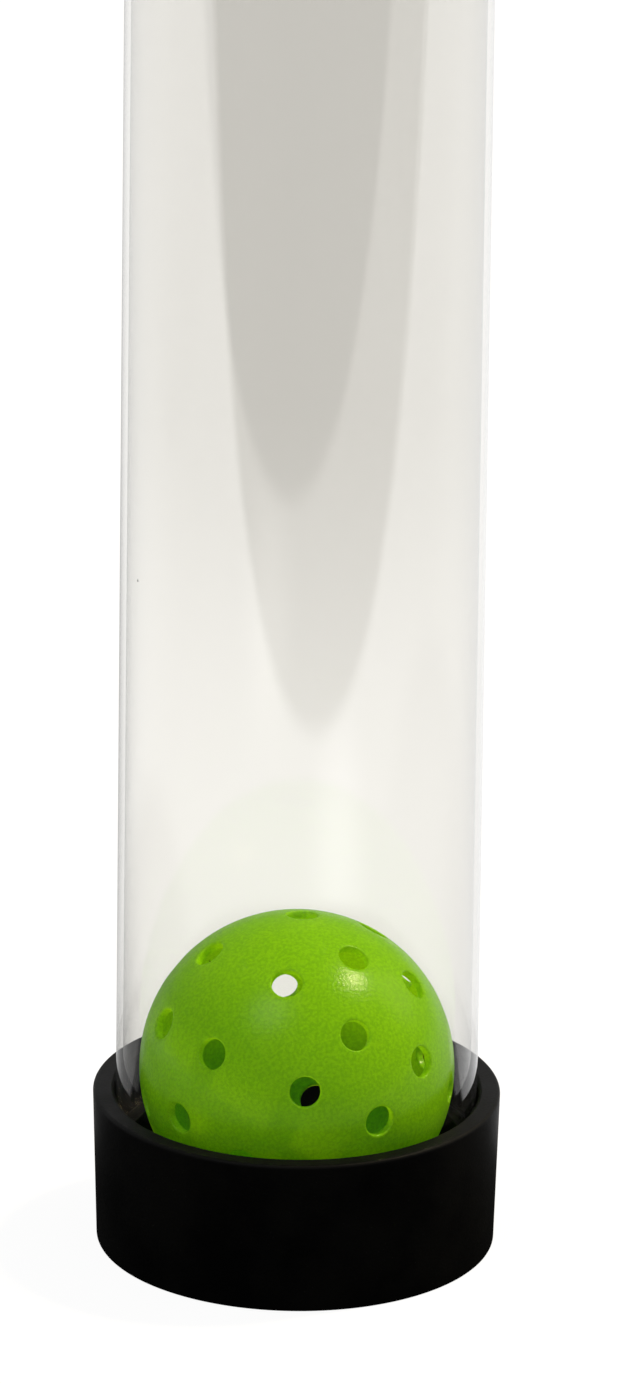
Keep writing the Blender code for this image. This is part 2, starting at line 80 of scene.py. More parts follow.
# Retainer ring and fingers, as their solids
RING_WALL = 3.5 * MM
RING_FLOOR = 1.8 * MM
FINGER_COUNT = 8
FINGER_WIDTH = 12.0 * MM
FINGER_TIP_WIDTH = 9.0 * MM
FINGER_ROOT_THICKNESS = 2.6 * MM
FINGER_TIP_THICKNESS = 1.8 * MM
FINGER_ROOT_STEPS = 24
FINGER_TIP_STEPS = 12
SLOT_SIDE_GAP = 0.4 * MM

# Top collar and rivets, as their solids
TOP_COLLAR_WALL = 4.15 * MM
TOP_COLLAR_NECK = 8.0 * MM
TOP_COLLAR_ROUND = 1.5 * MM
RIVET_COUNT = 4
RIVET_DROP = 15.0 * MM
RIVET_DIAMETER = 3.2 * MM
RIVET_HEAD_RADIUS = 3.2 * MM
RIVET_HEAD_HEIGHT = 1.4 * MM
RIVET_TAIL_RADIUS = 2.6 * MM
RIVET_TAIL_HEIGHT = 0.7 * MM

# Lid, hinge and handle, as their solids
LID_THICKNESS = 3.0 * MM
LID_EDGE_ROUND = 0.8 * MM
LID_SKIRT_DEPTH = 5.0 * MM
LID_SKIRT_WALL = 2.2 * MM
TAB_WIDTH = 26.0 * MM
TAB_CORNER = 6.0 * MM
TAB_CORNER_STEPS = 16
KNUCKLE_RADIUS = 3.6 * MM
KNUCKLE_STEPS = 48
HINGE_PIN_RADIUS = 1.5 * MM
HINGE_PIN_OVERHANG = 1.0 * MM
LID_KNUCKLE_WIDTH = 11.4 * MM
EAR_WIDTH = 8.0 * MM
EAR_DEPTH = 13.0 * MM
EAR_ARC = (-60.0, 200.0)  # of its knuckle, in degrees
EAR_STEPS = 40
HANDLE_INSET = 7.3 * MM
HANDLE_THICKNESS = 6.5 * MM
HANDLE_EYE_RADIUS = 4.4 * MM
HANDLE_STEPS = 90
GRIP_DIAMETER = 10.5 * MM
GRIP_ARC = 84.0
LUG_THICKNESS = 4.0 * MM
LUG_ROUND = 4.5 * MM
LUG_FOOT = 12.0 * MM
LUG_SIDE_GAP = 0.5 * MM
HANDLE_PIN_RADIUS = 1.6 * MM
HANDLE_PIN_HEAD_RADIUS = 3.2 * MM
HANDLE_PIN_HEAD_HEIGHT = 1.5 * MM

# Finer detail than the solids have
GROOVE_WIDTH = 1.2 * MM
GROOVE_DEPTH = 0.35 * MM
GROOVE_HEIGHTS = (5.0 * MM, 8.0 * MM)  # above the top collar's lower edge
PANEL_RADIUS = 28.5 * MM  # of the lid's sunk middle
PANEL_DEPTH = 0.5 * MM
PANEL_ROUND = 0.2 * MM
SMALL_ROUND = 0.4 * MM
EAR_ROUND = 0.5 * MM
TAB_EDGE_ROUND = 0.7 * MM
LUG_EDGE_ROUND = 0.6 * MM
RIDGE_PLACES = (-48.6 * MM, -50.4 * MM, -52.2 * MM)  # of the thumb tab's ridges
RIDGE_RADIUS = 0.55 * MM
RIDGE_HALF_LENGTH = 7.5 * MM
RIDGE_SINK = 0.2 * MM
RIVET_FLANGE = 0.3 * MM
RIVET_DOME_STEPS = 12
PIN_END_ROUND = 0.4 * MM
PIN_RIM = HANDLE_PIN_HEAD_HEIGHT / 3
PIN_DOME_STEPS = 8
PIN_SOCKET_RADIUS = 1.2 * MM
PIN_SOCKET_DEPTH = 0.7 * MM
GRIP_END_ROUND = 2.2 * MM
GRIP_END_STEPS = 8
GRIP_SWELL = 0.12 * MM
GRIP_SWELL_POWER = 4
GRIP_LENGTH_STEPS = 60
GRIP_BORE_STEPS = 40
GRIP_TURN_STEPS = 40

# Places that follow from the solids
TUBE_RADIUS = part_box("clear_tube")[1].x
TUBE_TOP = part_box("clear_tube")[1].z
BORE_RADIUS = TUBE_RADIUS - TUBE_WALL
SOCKET_RADIUS = TUBE_RADIUS + GAP
RING_BORE_RADIUS = TUBE_RADIUS - RING_WALL
TOP_COLLAR_RADIUS = SOCKET_RADIUS + TOP_COLLAR_WALL
TOP_COLLAR_TOP = TUBE_TOP + TOP_COLLAR_NECK
RIVET_HEIGHT = TUBE_TOP - RIVET_DROP
LID_BOTTOM = TOP_COLLAR_TOP + GAP
LID_TOP = LID_BOTTOM + LID_THICKNESS
HINGE_Y = TOP_COLLAR_RADIUS + GAP + KNUCKLE_RADIUS
HINGE_Z = LID_BOTTOM + LID_THICKNESS / 2
REACH = HINGE_Y + KNUCKLE_RADIUS
EAR_INNER_X = LID_KNUCKLE_WIDTH / 2 + GAP
EAR_OUTER_X = EAR_INNER_X + EAR_WIDTH
PIVOT_Z = LID_TOP + GAP + GRIP_DIAMETER / 2
HANDLE_RADIUS = TOP_COLLAR_RADIUS - HANDLE_INSET
HANDLE_INNER_X = HANDLE_RADIUS - HANDLE_THICKNESS / 2
HANDLE_OUTER_X = HANDLE_RADIUS + HANDLE_THICKNESS / 2
LUG_OUTER_X = HANDLE_INNER_X - LUG_SIDE_GAP
LUG_INNER_X = LUG_OUTER_X - LUG_THICKNESS
ALONG_X = Matrix.Rotation(math.radians(90), 4, "Y")
AT_HINGE = Matrix.Translation((0, HINGE_Y, HINGE_Z))
AT_PIVOT = Matrix.Translation((0, 0, PIVOT_Z))

# Ball, with the holes and the lie that its solid has: each ring's latitude, number of holes
# and first longitude in degrees, and the holes that are drilled a little off their place
BALL_WALL = 2.0 * MM
BALL_HOLE_RADIUS = 3.6 * MM
BALL_HOLE_ROUND = 0.45 * MM
HOLE_RINGS = (
    (64.9, 4, 50.4),
    (35.7, 8, 39.9),
    (13.5, 8, 18.7),
    (-68.0, 4, 27.9),
    (-41.6, 8, 14.3),
    (-18.4, 8, 40.5),
)
HOLE_DRIFTS = {
    13: (-0.4, -1.2),
    16: (0.0, -1.6),
    17: (-0.3, 1.8),
    24: (0.9, -0.2),
    26: (-0.7, -0.3),
    33: (0.2, -0.9),
    37: (-2.2, 2.4),
}
BALL_ANGLES = (112.0, 30.5, -90.4)
HOLE_EDGE = BALL_HOLE_RADIUS + BALL_HOLE_ROUND
HOLE_STEPS = 48
HOLE_ROUND_STEPS = 5
HOLE_COLLARS = ((0.0, HOLE_STEPS), (0.7 * MM, 36), (1.6 * MM, 30))  # from the edge, and points
HOLE_CLEARANCE = 2.3 * MM  # from the edge to the points that cover the sphere
HOLE_MARGIN = 1.00002  # keeps a sliver at a hole's edge from going with the hole
BALL_GRID = 1.25 * MM
BALL_INNER_GRID = 1.6 * BALL_GRID

# Camera, fitted to the outlines of the ball, the tube and the collar. The sensor's size is
# that of the frame's longer side.
CAMERA_DISTANCE = 3.767
CAMERA_ELEVATION = math.radians(21.32)
CAMERA_ROLL = math.radians(0.70)
CAMERA_TARGET = Vector((0.00283, 0.0, 0.13656))
CAMERA_CLIP = (0.1, 100.0)
SENSOR_SIZE = 36.0
PHOTO_HEIGHT = 1384.0
PHOTO_FOCAL_LENGTH = 16230.0  # in pixels, as the height
FOCAL_LENGTH = PHOTO_FOCAL_LENGTH * SENSOR_SIZE / PHOTO_HEIGHT

# Stage: a white floor. Light that has passed both walls of the tube sees it grow darker with
# the distance, a painted shade. Gloss sees it bright in front, up to a bent edge with
# darkness beyond, and paler behind: painted reflections, with a painted highlight and a
# painted dim patch. The tube's near wall mirrors it dim round the foot, a painted shade in
# its reflection. Inside the collar's foot its glow is turned down, a painted shadow.
FLOOR_SIZE = 60.0
FLOOR_DROP = 0.02 * MM
FLOOR_GLOW = 0.92
FLOOR_PALE = 0.11
FLOOR_BOUNCE = 0.45
# Painted shade: the floor seen through both walls of the tube glows less with the distance
THROUGH_REACH = (0.20, 0.58)
THROUGH_NEAR = 0.95
THROUGH_FAR = 0.63
# Painted shadow: the floor's glow turned down inside the collar's foot
UNDER_REACH = (0.040, 0.047)  # inside the collar's foot, where the floor lies in the dark
UNDER_LEVEL = 0.06
WALL_FACES = 2  # surfaces that light passes in one wall of the tube
# Painted reflections: how bright the floor shows to gloss only, set by place
DARK_EDGE_DISTANCE = 0.410
DARK_EDGE_SLOPE = 0.14
DARK_EDGE_BEND = 0.09
DARK_EDGE_BLUR = 0.014
DARK_LEVEL = 0.02
FRONT_REACH = (0.18, 0.51)
FRONT_LEVELS = (0.85, 1.65)  # at the near and the far end of the reach, as for the back
BACK_REACH = (0.40, 0.85)
BACK_LEFT_LEVELS = (0.50, 0.74)
BACK_RIGHT_LEVELS = (1.12, 0.98)
BACK_CHANGE = 0.15  # to both sides of the middle, between the left and the right levels
FRONT_TO_BACK = (0.25, 0.97)  # across the floor, as the cosine of a direction from the rear
EDGE_TO_BACK = (0.68, 0.90)  # the part of it that the tube's edges mirror
LEFT_EDGE_SHARE = 0.82
NEAR_AXIS = 0.01  # inside it, that cosine falls to nothing
# Painted highlight: a bright patch of the floor that only gloss sees
HOT_SPOT = (0.13, -0.30)
HOT_SPOT_RADIUS = 0.14
HOT_SPOT_LEVEL = 0.9
# Painted shade: a dim patch of the floor that only gloss sees
DIM_SPOT = (-0.20, 0.04)
DIM_SPOT_RADIUS = (0.10, 0.16)
DIM_SPOT_SHARE = 0.52
# Painted shade: the floor dim round the foot, as only the tube's near wall mirrors it
FOOT_CENTRE = (0.001, -0.082)
FOOT_REACH = (0.232, 0.207)
FOOT_BLUR = 0.03  # as a share of the reach
FOOT_BACK = (0.047, 0.055)  # where the dim area ends behind the foot
FOOT_LEVEL = 0.02
WORLD_AMBIENT = 0.40
# Painted reflection: the backdrop dimmed in the gloss of what the tube holds
BALL_SKY = 0.35  # how bright the backdrop shows in the gloss of what the tube holds

# Lamps: (name, place, size, power, colour)
LAMPS = (
    ("key_lamp", (1.62, 0.60, 2.55), 0.35, 92.0, (1.0, 0.82, 0.50)),
    ("rim_lamp", (2.30, 1.10, 1.40), 1.5, 18.0, (1.0, 0.78, 0.46)),
    ("front_fill_lamp", (-1.1, -1.4, 3.0), 1.6, 29.0, (0.98, 1.0, 0.98)),
)
LAMP_TARGET = Vector((0.0, 0.0, 0.05))

# Spans of a noise's value over which a tone changes
WIDE_SPAN = (0.30, 0.70)
TONE_SPAN = (0.35, 0.70)
GRAIN_SPAN = (0.35, 0.65)

# Clear plastic. Its fine lines and dents are drawn out along the tube.
TUBE_GLOSS = 0.042
TUBE_TINT = (0.957, 0.955, 0.946, 1.0)
EDGE_TINT = (0.89, 0.89, 0.88, 1.0)  # of what passes at a grazing view
SHADOW_TINT = (0.97, 0.97, 0.97, 1.0)  # of the light that falls through the tube
EDGE_POWER = 5.0
BORE_SLOPE = 0.60  # how much of the edges' mirroring the bore has
TUBE_ROUGHNESS = 0.035
LINE_SCALE = 60.0
LINE_STRETCH = (1.0, 1.0, 0.06)
DENT_SCALE = 14.0
DENT_STRETCH = (1.0, 1.0, 0.35)
DENT_SHARE = 4.0
TUBE_BUMP = (0.10, 0.6 * MM)  # strength and depth, as for the other materials
SPECK_TINT = (0.35, 0.36, 0.34, 1.0)
SPECK_DENSITY = 55.0
SPECK_RADIUS = 0.020  # as a share of the specks' spacing
SPECK_CHANCE = 0.88

# Ball plastic
BALL_TONES = ((0.32, 0.74, 0.002, 1.0), (0.35, 0.77, 0.003, 1.0))
BALL_GRAIN_TONE = (0.15, 0.44, 0.001, 1.0)
BALL_GRAIN_SHARE = 0.5
BALL_THROUGH_TONE = (0.38, 0.70, 0.002, 1.0)
BALL_THROUGH_SHARE = 0.5
BALL_TRANSLUCENCE = 0.38
BALL_ROUGHNESS = 0.22
BALL_SPECULAR = 0.18
BALL_CLOUDS = (55.0, 3.0, 0.55)  # a noise's scale, detail and roughness
BALL_GRAIN = (1400.0, 2.0, 0.6)
BALL_BUMP = (0.5, 0.15 * MM)

# Moulded materials: darker and paler tone, roughness, scale and depth of the grain, and
# specular level
MOULDED = {
    "black_rubber": (
        (0.0004, 0.0004, 0.0004), (0.0016, 0.0016, 0.0014), 0.50, 1800.0, 0.2 * MM, 0.04
    ),
    "black_plastic": (
        (0.006, 0.006, 0.0065), (0.010, 0.010, 0.011), 0.40, 1400.0, 0.2 * MM, 0.25
    ),
    "finger_plastic": (
        (0.008, 0.008, 0.008), (0.014, 0.014, 0.014), 0.36, 1600.0, 0.1 * MM, 0.30
    ),
    "grip_foam": (
        (0.010, 0.010, 0.011), (0.026, 0.026, 0.028), 0.85, 900.0, 0.8 * MM, 0.15
    ),
}
PATCHES = (45.0, 4.0, 0.6)
MOULDED_GRAIN = (3.0, 0.6)  # detail and roughness of the noise
MOULDED_BUMP_STRENGTH = 0.35
MOULDED_ROUGHNESS_CHANGE = (-0.05, 0.06)

# Turned steel: tone and roughness
STEELS = {"rivet_steel": (0.62, 0.30), "pin_steel": (0.55, 0.28)}
STEEL_DARKER = 0.9
STEEL_LINES = (900.0, 3.0, 0.7)
STEEL_STRETCH = (0.1, 0.1, 1.0)
STEEL_ROUGHNESS_CHANGE = (-0.06, 0.08)
STEEL_BUMP = (0.12, 0.1 * MM)


def new_material(name):
    """A material and its node tree, which is empty."""
    made = bpy.data.materials.new(name)
    made.use_nodes = True
    made.node_tree.nodes.clear()
    return made, made.node_tree


def finished(material, surface):
    add_node(material.node_tree, "OutputMaterial", {"Surface": surface})
    return material


def add_node(tree, kind, inputs=None, **settings):
    """Adds a shader node. inputs gives its sockets a value or a link from another node."""
    node = tree.nodes.new("ShaderNode" + kind)
    for name, value in settings.items():
        setattr(node, name, value)
    for key, value in (inputs or {}).items():
        if isinstance(value, bpy.types.NodeSocket):
            tree.links.new(value, node.inputs[key])
        else:
            node.inputs[key].default_value = value
    return node


def result(tree, kind, inputs=None, **settings):
    """The first output of a new shader node."""
    return add_node(tree, kind, inputs, **settings).outputs[0]


def math_node(tree, operation, *values):
    return result(tree, "Math", dict(enumerate(values)), operation=operation)


def vector_node(tree, operation, *values):
    return add_node(tree, "VectorMath", dict(enumerate(values)), operation=operation)


def smooth_step(tree, value, start, end, low=0.0, high=1.0):
    """Turns a value between start and end smoothly into one between low and high."""
    inputs = {0: value, 1: start, 2: end, 3: low, 4: high}
    return result(tree, "MapRange", inputs, interpolation_type="SMOOTHSTEP")


def between(tree, share, first, second):
    """The value that lies at a share of the way from the first to the second."""
    return result(tree, "Mix", {0: share, 2: first, 3: second})


def mixed_colour(tree, share, first, second):
    node = add_node(tree, "Mix", {0: share, 6: first, 7: second}, data_type="RGBA")
    return node.outputs[2]


def mixed_shader(tree, share, first, second):
    return result(tree, "MixShader", {0: share, 1: first, 2: second})


def position(tree):
    return add_node(tree, "NewGeometry").outputs["Position"]


def distance_from(tree, centre):
    """The distance from an (x, y) place on the ground."""
    return vector_node(tree, "DISTANCE", position(tree), (*centre, 0.0)).outputs["Value"]


def is_ray(tree, *kinds):
    """1 for a ray of any of the kinds, by their names in Light Path."""
    flags = add_node(tree, "LightPath").outputs
    found = flags[kinds[0]]
    for kind in kinds[1:]:
        found = math_node(tree, "MAXIMUM", found, flags[kind])
    return found


def through_both_walls(tree):
    """1 for light that has passed the near wall and the far wall, or the near wall twice."""
    passed = add_node(tree, "LightPath").outputs["Transparent Depth"]
    return math_node(tree, "GREATER_THAN", passed, 2 * WALL_FACES - 0.5)


def noise(tree, scale, detail, roughness=0.5, stretch=(1.0, 1.0, 1.0)):
    """Noise in the row frame. A stretch below 1 makes it longer along that axis."""
    mapped = result(tree, "Mapping", {"Vector": position(tree), "Scale": stretch})
    inputs = {"Vector": mapped, "Scale": scale, "Detail": detail, "Roughness": roughness}
    return add_node(tree, "TexNoise", inputs).outputs["Fac"]


def bumped(tree, height, strength, depth):
    """A normal that follows a height between 0 and 1."""
    return result(tree, "Bump", {"Height": height, "Strength": strength, "Distance": depth})


def grey(level):
    return (level, level, level, 1.0)


def clear_plastic():
    """Thin clear plastic: part is mirrored, more towards the edges, and the rest passes."""
    made, tree = new_material("clear_plastic")
    lines = noise(tree, LINE_SCALE, 2.0, stretch=LINE_STRETCH)
    dents = noise(tree, DENT_SCALE, 2.0, stretch=DENT_STRETCH)
    bump = bumped(tree, math_node(tree, "MULTIPLY_ADD", dents, DENT_SHARE, lines), *TUBE_BUMP)
    facing = add_node(tree, "LayerWeight", {"Blend": 0.5, "Normal": bump}).outputs["Facing"]
    slope = math_node(tree, "POWER", facing, EDGE_POWER)
    slope = math_node(tree, "MULTIPLY", slope, between(tree, on_outer_wall(tree), BORE_SLOPE, 1.0))
    gloss_share = math_node(tree, "MULTIPLY_ADD", slope, 1.0 - TUBE_GLOSS, TUBE_GLOSS)
    gloss = result(
        tree, "BsdfGlossy", {"Color": WHITE, "Roughness": TUBE_ROUGHNESS, "Normal": bump}
    )
    tint = mixed_colour(tree, slope, TUBE_TINT, EDGE_TINT)
    tint = mixed_colour(tree, specks(tree), tint, SPECK_TINT)
    passing = result(tree, "BsdfTransparent", {"Color": tint})
    seen = mixed_shader(tree, gloss_share, passing, gloss)
    unseen = is_ray(tree, "Is Shadow Ray", "Is Diffuse Ray")
    open_air = result(tree, "BsdfTransparent", {"Color": SHADOW_TINT})
    return finished(made, mixed_shader(tree, unseen, seen, open_air))


def on_outer_wall(tree):
    """1 on the tube's outer surface and 0 on its bore."""
    flat = vector_node(tree, "MULTIPLY", position(tree), (1.0, 1.0, 0.0))
    radius = vector_node(tree, "LENGTH", flat.outputs["Vector"]).outputs["Value"]
    return math_node(tree, "GREATER_THAN", radius, TUBE_RADIUS - TUBE_WALL / 2)


def specks(tree):
    """Where specks of dust sit: one in a few cells of a scattered pattern."""
    cells = add_node(tree, "TexVoronoi", {"Vector": position(tree), "Scale": SPECK_DENSITY})
    near = math_node(tree, "LESS_THAN", cells.outputs["Distance"], SPECK_RADIUS)
    chosen = add_node(tree, "SeparateColor", {0: cells.outputs["Color"]}).outputs["Red"]
    return math_node(tree, "MULTIPLY", near, math_node(tree, "GREATER_THAN", chosen, SPECK_CHANCE))


def moulded(name):
    """Moulded plastic or rubber with an uneven tone and a fine grained skin."""
    dark, pale, roughness, grain, depth, specular = MOULDED[name]
    made, tree = new_material(name)
    patches = noise(tree, *PATCHES)
    speckle = noise(tree, grain, *MOULDED_GRAIN)
    tone = smooth_step(tree, patches, *TONE_SPAN)
    rough_ends = [roughness + change for change in MOULDED_ROUGHNESS_CHANGE]
    skin = {
        "Base Color": mixed_colour(tree, tone, (*dark, 1.0), (*pale, 1.0)),
        "Roughness": smooth_step(tree, patches, *WIDE_SPAN, *rough_ends),
        "Specular IOR Level": specular,
        "Normal": bumped(tree, speckle, MOULDED_BUMP_STRENGTH, depth),
    }
    return finished(made, result(tree, "BsdfPrincipled", skin))


def ball_plastic():
    """Lime-green plastic that lets some light through, with a faintly cloudy tone."""
    made, tree = new_material("ball_plastic")
    clouds = noise(tree, *BALL_CLOUDS)
    grain = noise(tree, *BALL_GRAIN)
    colour = mixed_colour(tree, smooth_step(tree, clouds, *WIDE_SPAN), *BALL_TONES)
    grain_share = smooth_step(tree, grain, *GRAIN_SPAN, 0.0, BALL_GRAIN_SHARE)
    colour = mixed_colour(tree, grain_share, colour, BALL_GRAIN_TONE)
    bump = bumped(tree, grain, *BALL_BUMP)
    inputs = {
        "Base Color": colour,
        "Roughness": BALL_ROUGHNESS,
        "Specular IOR Level": BALL_SPECULAR,
        "Normal": bump,
    }
    shader = result(tree, "BsdfPrincipled", inputs)
    lit_through = mixed_colour(tree, BALL_THROUGH_SHARE, colour, BALL_THROUGH_TONE)
    through = result(tree, "BsdfTranslucent", {"Color": lit_through, "Normal": bump})
    skin = mixed_shader(tree, BALL_TRANSLUCENCE, shader, through)
    from_within = add_node(tree, "NewGeometry").outputs["Backfacing"]
    wall = result(tree, "BsdfTransparent", {"Color": WHITE})
    return finished(made, mixed_shader(tree, from_within, skin, wall))


def steel(name):
    """Steel with the fine lines of turning."""
    tone, roughness = STEELS[name]
    made, tree = new_material(name)
    lines = noise(tree, *STEEL_LINES, stretch=STEEL_STRETCH)
    rough_ends = [roughness + change for change in STEEL_ROUGHNESS_CHANGE]
    skin = {
        "Base Color": mixed_colour(tree, lines, grey(tone * STEEL_DARKER), grey(tone)),
        "Metallic": 1.0,
        "Roughness": smooth_step(tree, lines, *WIDE_SPAN, *rough_ends),
        "Normal": bumped(tree, lines, *STEEL_BUMP),
    }
    return finished(made, result(tree, "BsdfPrincipled", skin))


def arc(centre, radius, start, end, steps=ROUND_STEPS):
    """Points of an arc about centre, from the angle start to end in degrees."""
    turns = [math.radians(start + (end - start) * i / steps) for i in range(steps + 1)]
    return [
        (centre[0] + radius * math.cos(t), centre[1] + radius * math.sin(t)) for t in turns
    ]


def quarter_turns(steps):
    """The angles of a quarter turn's steps, from 0."""
    return [math.radians(90.0 * i / steps) for i in range(steps + 1)]


def ring_section(inner, outer, low, high, edge):
    """The section of a plain ring with rounded edges."""
    section = arc((inner + edge, low + edge), edge, 180, 270)
    section += arc((outer - edge, low + edge), edge, 270, 360)
    section += arc((outer - edge, high - edge), edge, 0, 90)
    return section + arc((inner + edge, high - edge), edge, 90, 180)


def supported(profile, closed):
    """Adds points near both ends of a profile's long stretches, so that they shade flat."""
    ends = profile[1:] + (profile[:1] if closed else [])
    full = []
    for start, end in zip(profile, ends):
        full.append(start)
        a, b = Vector(start), Vector(end)
        length = (b - a).length
        if length > 4 * SUPPORT:
            full += [tuple(a.lerp(b, t)) for t in (SUPPORT / length, 1 - SUPPORT / length)]
    return full if closed else full + [profile[-1]]


def outward(bm):
    """Turns the faces of one closed shape outward."""
    bmesh.ops.recalc_face_normals(bm, faces=bm.faces)
    if bm.calc_volume(signed=True) < 0.0:
        bmesh.ops.reverse_faces(bm, faces=bm.faces)
    return bm


def join_rings(bm, rings, closed):
    """Makes the faces between rings of verts. A ring may be one vert, over and over."""
    for ring, other in zip(rings, rings[1:] + (rings[:1] if closed else [])):
        for i in range(len(ring)):
            j = (i + 1) % len(ring)
            corners = dict.fromkeys((ring[i], ring[j], other[j], other[i]))
            bm.faces.new(list(corners))


def revolve(profile, closed=True, steps=TURN_STEPS):
    """Turns (radius, height) points about Z. An open profile starts and ends on the axis."""
    bm = bmesh.new()
    rings = []
    previous = Vector(profile[-1])
    for point in supported(profile, closed):
        if (Vector(point) - previous).length > WELD:
            radius, height = point
            if radius > WELD:
                circle = arc((0, 0), radius, 0, 360, steps)[:-1]
                rings.append([bm.verts.new((x, y, height)) for x, y in circle])
            else:
                rings.append([bm.verts.new((0, 0, height))] * steps)
        previous = Vector(point)
    join_rings(bm, rings, closed)
    return outward(bm)


def rod(radius, start, end):
    """A plain round bar along Z from start to end."""
    return revolve([(0, start), (radius, start), (radius, end), (0, end)], False, ROD_STEPS)


def round_ended_rod(radius, start, end, edge, steps=PIN_STEPS):
    """A round bar along Z from start to end, with rounded ends."""
    profile = [(0, start)] + arc((radius - edge, start + edge), edge, -90, 0)
    profile += arc((radius - edge, end - edge), edge, 0, 90) + [(0, end)]
    return revolve(profile, False, steps)


def extrude(outline, start, end):
    """A prism along X, from start to end, on an outline of (y, z) points."""
    bm = bmesh.new()
    face = bm.faces.new([bm.verts.new((start, y, z)) for y, z in outline])
    pushed = bmesh.ops.extrude_face_region(bm, geom=[face])["geom"]
    bmesh.ops.translate(
        bm,
        verts=[item for item in pushed if isinstance(item, bmesh.types.BMVert)],
        vec=(end - start, 0, 0),
    )
    return outward(bm)


def span(side, inner, outer):
    """The lower and the upper end of a stretch that lies on one side of the middle."""
    return sorted((side * inner, side * outer))


def around(i, count):
    """The turn about the tube's axis to one of several equally spaced places."""
    return Matrix.Rotation(math.tau * i / count, 4, "Z")


def moved(bm, matrix):
    bm.transform(matrix)
    return bm


def eased(bm, width):
    """Rounds a shape's sharp edges."""
    sharp = [edge for edge in bm.edges if edge.calc_face_angle() > SHARP_ANGLE]
    bmesh.ops.bevel(
        bm, geom=sharp, offset=width, segments=EASED_STEPS, profile=0.5, affect="EDGES"
    )
    return bm


def gather(parts):
    """Puts several separate closed shapes into one mesh."""
    bm = bmesh.new()
    for part in parts:
        mesh = bpy.data.meshes.new("gathered")
        part.to_mesh(mesh)
        part.free()
        bm.from_mesh(mesh)
        bpy.data.meshes.remove(mesh)
    return bm


def smooth_shaded(mesh):
    mesh.shade_smooth()
    mesh.set_sharp_from_angle(angle=SHARP_ANGLE)


def add_object(name, data):
    made = bpy.data.objects.new(name, data)
    bpy.context.scene.collection.objects.link(made)
    return made


def piece_from(name, bm):
    """An object of the row frame from closed shapes."""
    mesh = bpy.data.meshes.new(name)
    bm.to_mesh(mesh)
    bm.free()
    smooth_shaded(mesh)
    return add_object(name, mesh)


def combine(piece, shape, operation):
    """Adds a shape to a piece, or cuts it from it, and keeps the resulting mesh."""
    other = piece_from("combined_shape", shape)
    step = piece.modifiers.new("combine", "BOOLEAN")
    step.operation = operation
    step.solver = "EXACT"
    step.object = other
    bpy.context.view_layer.update()
    evaluated = piece.evaluated_get(bpy.context.evaluated_depsgraph_get())
    combined = bpy.data.meshes.new_from_object(evaluated)
    combined.name = piece.name
    bm = bmesh.new()
    bm.from_mesh(combined)
    bmesh.ops.dissolve_degenerate(bm, dist=WELD, edges=bm.edges)
    bm.to_mesh(combined)
    bm.free()
    piece.modifiers.clear()
    piece.data = combined
    smooth_shaded(combined)
    bpy.data.objects.remove(other)


def even_shading(piece):
    """Keeps a piece's broad faces flat in the light, beside its rounded edges."""
    even = piece.modifiers.new("even_shading", "WEIGHTED_NORMAL")
    even.keep_sharp = True


def stand_for(piece, node, body, material):
    """The piece is shown in the CAD node's place, with a finish of its own."""
    piece.data.materials.clear()
    piece.data.materials.append(material)
    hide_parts(node)
    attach(piece, body)


def rivet_turns():
    """For each rivet, the matrix that turns +Z outward through the collar there."""
    for i in range(RIVET_COUNT):
        yield Matrix.Translation((0, 0, RIVET_HEIGHT)) @ around(i, RIVET_COUNT) @ ALONG_X


def rivet_drills():
    inner, outer = BORE_RADIUS - TUBE_WALL, TOP_COLLAR_RADIUS + TUBE_WALL
    radius = RIVET_DIAMETER / 2 + GAP
    return gather([moved(rod(radius, inner, outer), turn) for turn in rivet_turns()])


def make_tube(material):
    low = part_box("clear_tube")[0].z
    section = ring_section(BORE_RADIUS, TUBE_RADIUS, low, TUBE_TOP, TUBE_END_ROUND)
    tube = piece_from("tube_wall", revolve(section))
    combine(tube, rivet_drills(), "DIFFERENCE")
    stand_for(tube, "clear_tube", "tube", material)


def make_pickup_collar(material):
    """The flared ring with its rounded rims, finer than its solid."""
    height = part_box("pickup_collar")[1].z
    foot = SOCKET_RADIUS + COLLAR_FOOT_WALL - COLLAR_FOOT_ROUND
    top = SOCKET_RADIUS + COLLAR_TOP_WALL - COLLAR_TOP_ROUND
    profile = arc((foot, COLLAR_FOOT_ROUND), COLLAR_FOOT_ROUND, -90, 0)
    profile += arc((top, height - COLLAR_TOP_ROUND), COLLAR_TOP_ROUND, 0, 90, WIDE_ROUND_STEPS)
    edge = RIM_CHAMFER_ROUND
    reach = edge * math.tan(math.radians(22.5))  # along both sides of the chamfer's edges
    upper = (SOCKET_RADIUS + RIM_CHAMFER + reach, height - edge)
    lower = (SOCKET_RADIUS + edge, height - RIM_CHAMFER - reach)
    profile += arc(upper, edge, 90, 135, BLUNT_ROUND_STEPS)
    profile += arc(lower, edge, 135, 180, BLUNT_ROUND_STEPS)
    lip = RING_BORE_RADIUS
    half = COLLAR_LIP_THICKNESS / 2
    profile += [(SOCKET_RADIUS, COLLAR_LIP_THICKNESS), (lip, COLLAR_LIP_THICKNESS), (lip, half)]
    profile += arc((lip + half, half), half, 180, 270)
    collar = piece_from("collar_rubber", revolve(profile))
    stand_for(collar, "pickup_collar", "tube", material)


def make_retainer_ring(material):
    """The castellated ring below the tube, with a slot for each finger."""
    low, high = (corner.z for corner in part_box("retainer_ring"))
    section = ring_section(RING_BORE_RADIUS, TUBE_RADIUS, low, high, SMALL_ROUND)
    ring = piece_from("castle_ring", revolve(section))
    half = FINGER_WIDTH / 2 + SLOT_SIDE_GAP
    floor, roof = low + RING_FLOOR, high + RING_FLOOR
    outline = [(-half, floor), (half, floor), (half, roof), (-half, roof)]
    ends = (RING_BORE_RADIUS - RING_WALL, TUBE_RADIUS + RING_WALL)
    slots = [moved(extrude(outline, *ends), around(i, FINGER_COUNT)) for i in range(FINGER_COUNT)]
    combine(ring, gather(slots), "DIFFERENCE")
    even_shading(ring)
    stand_for(ring, "retainer_ring", "tube", material)


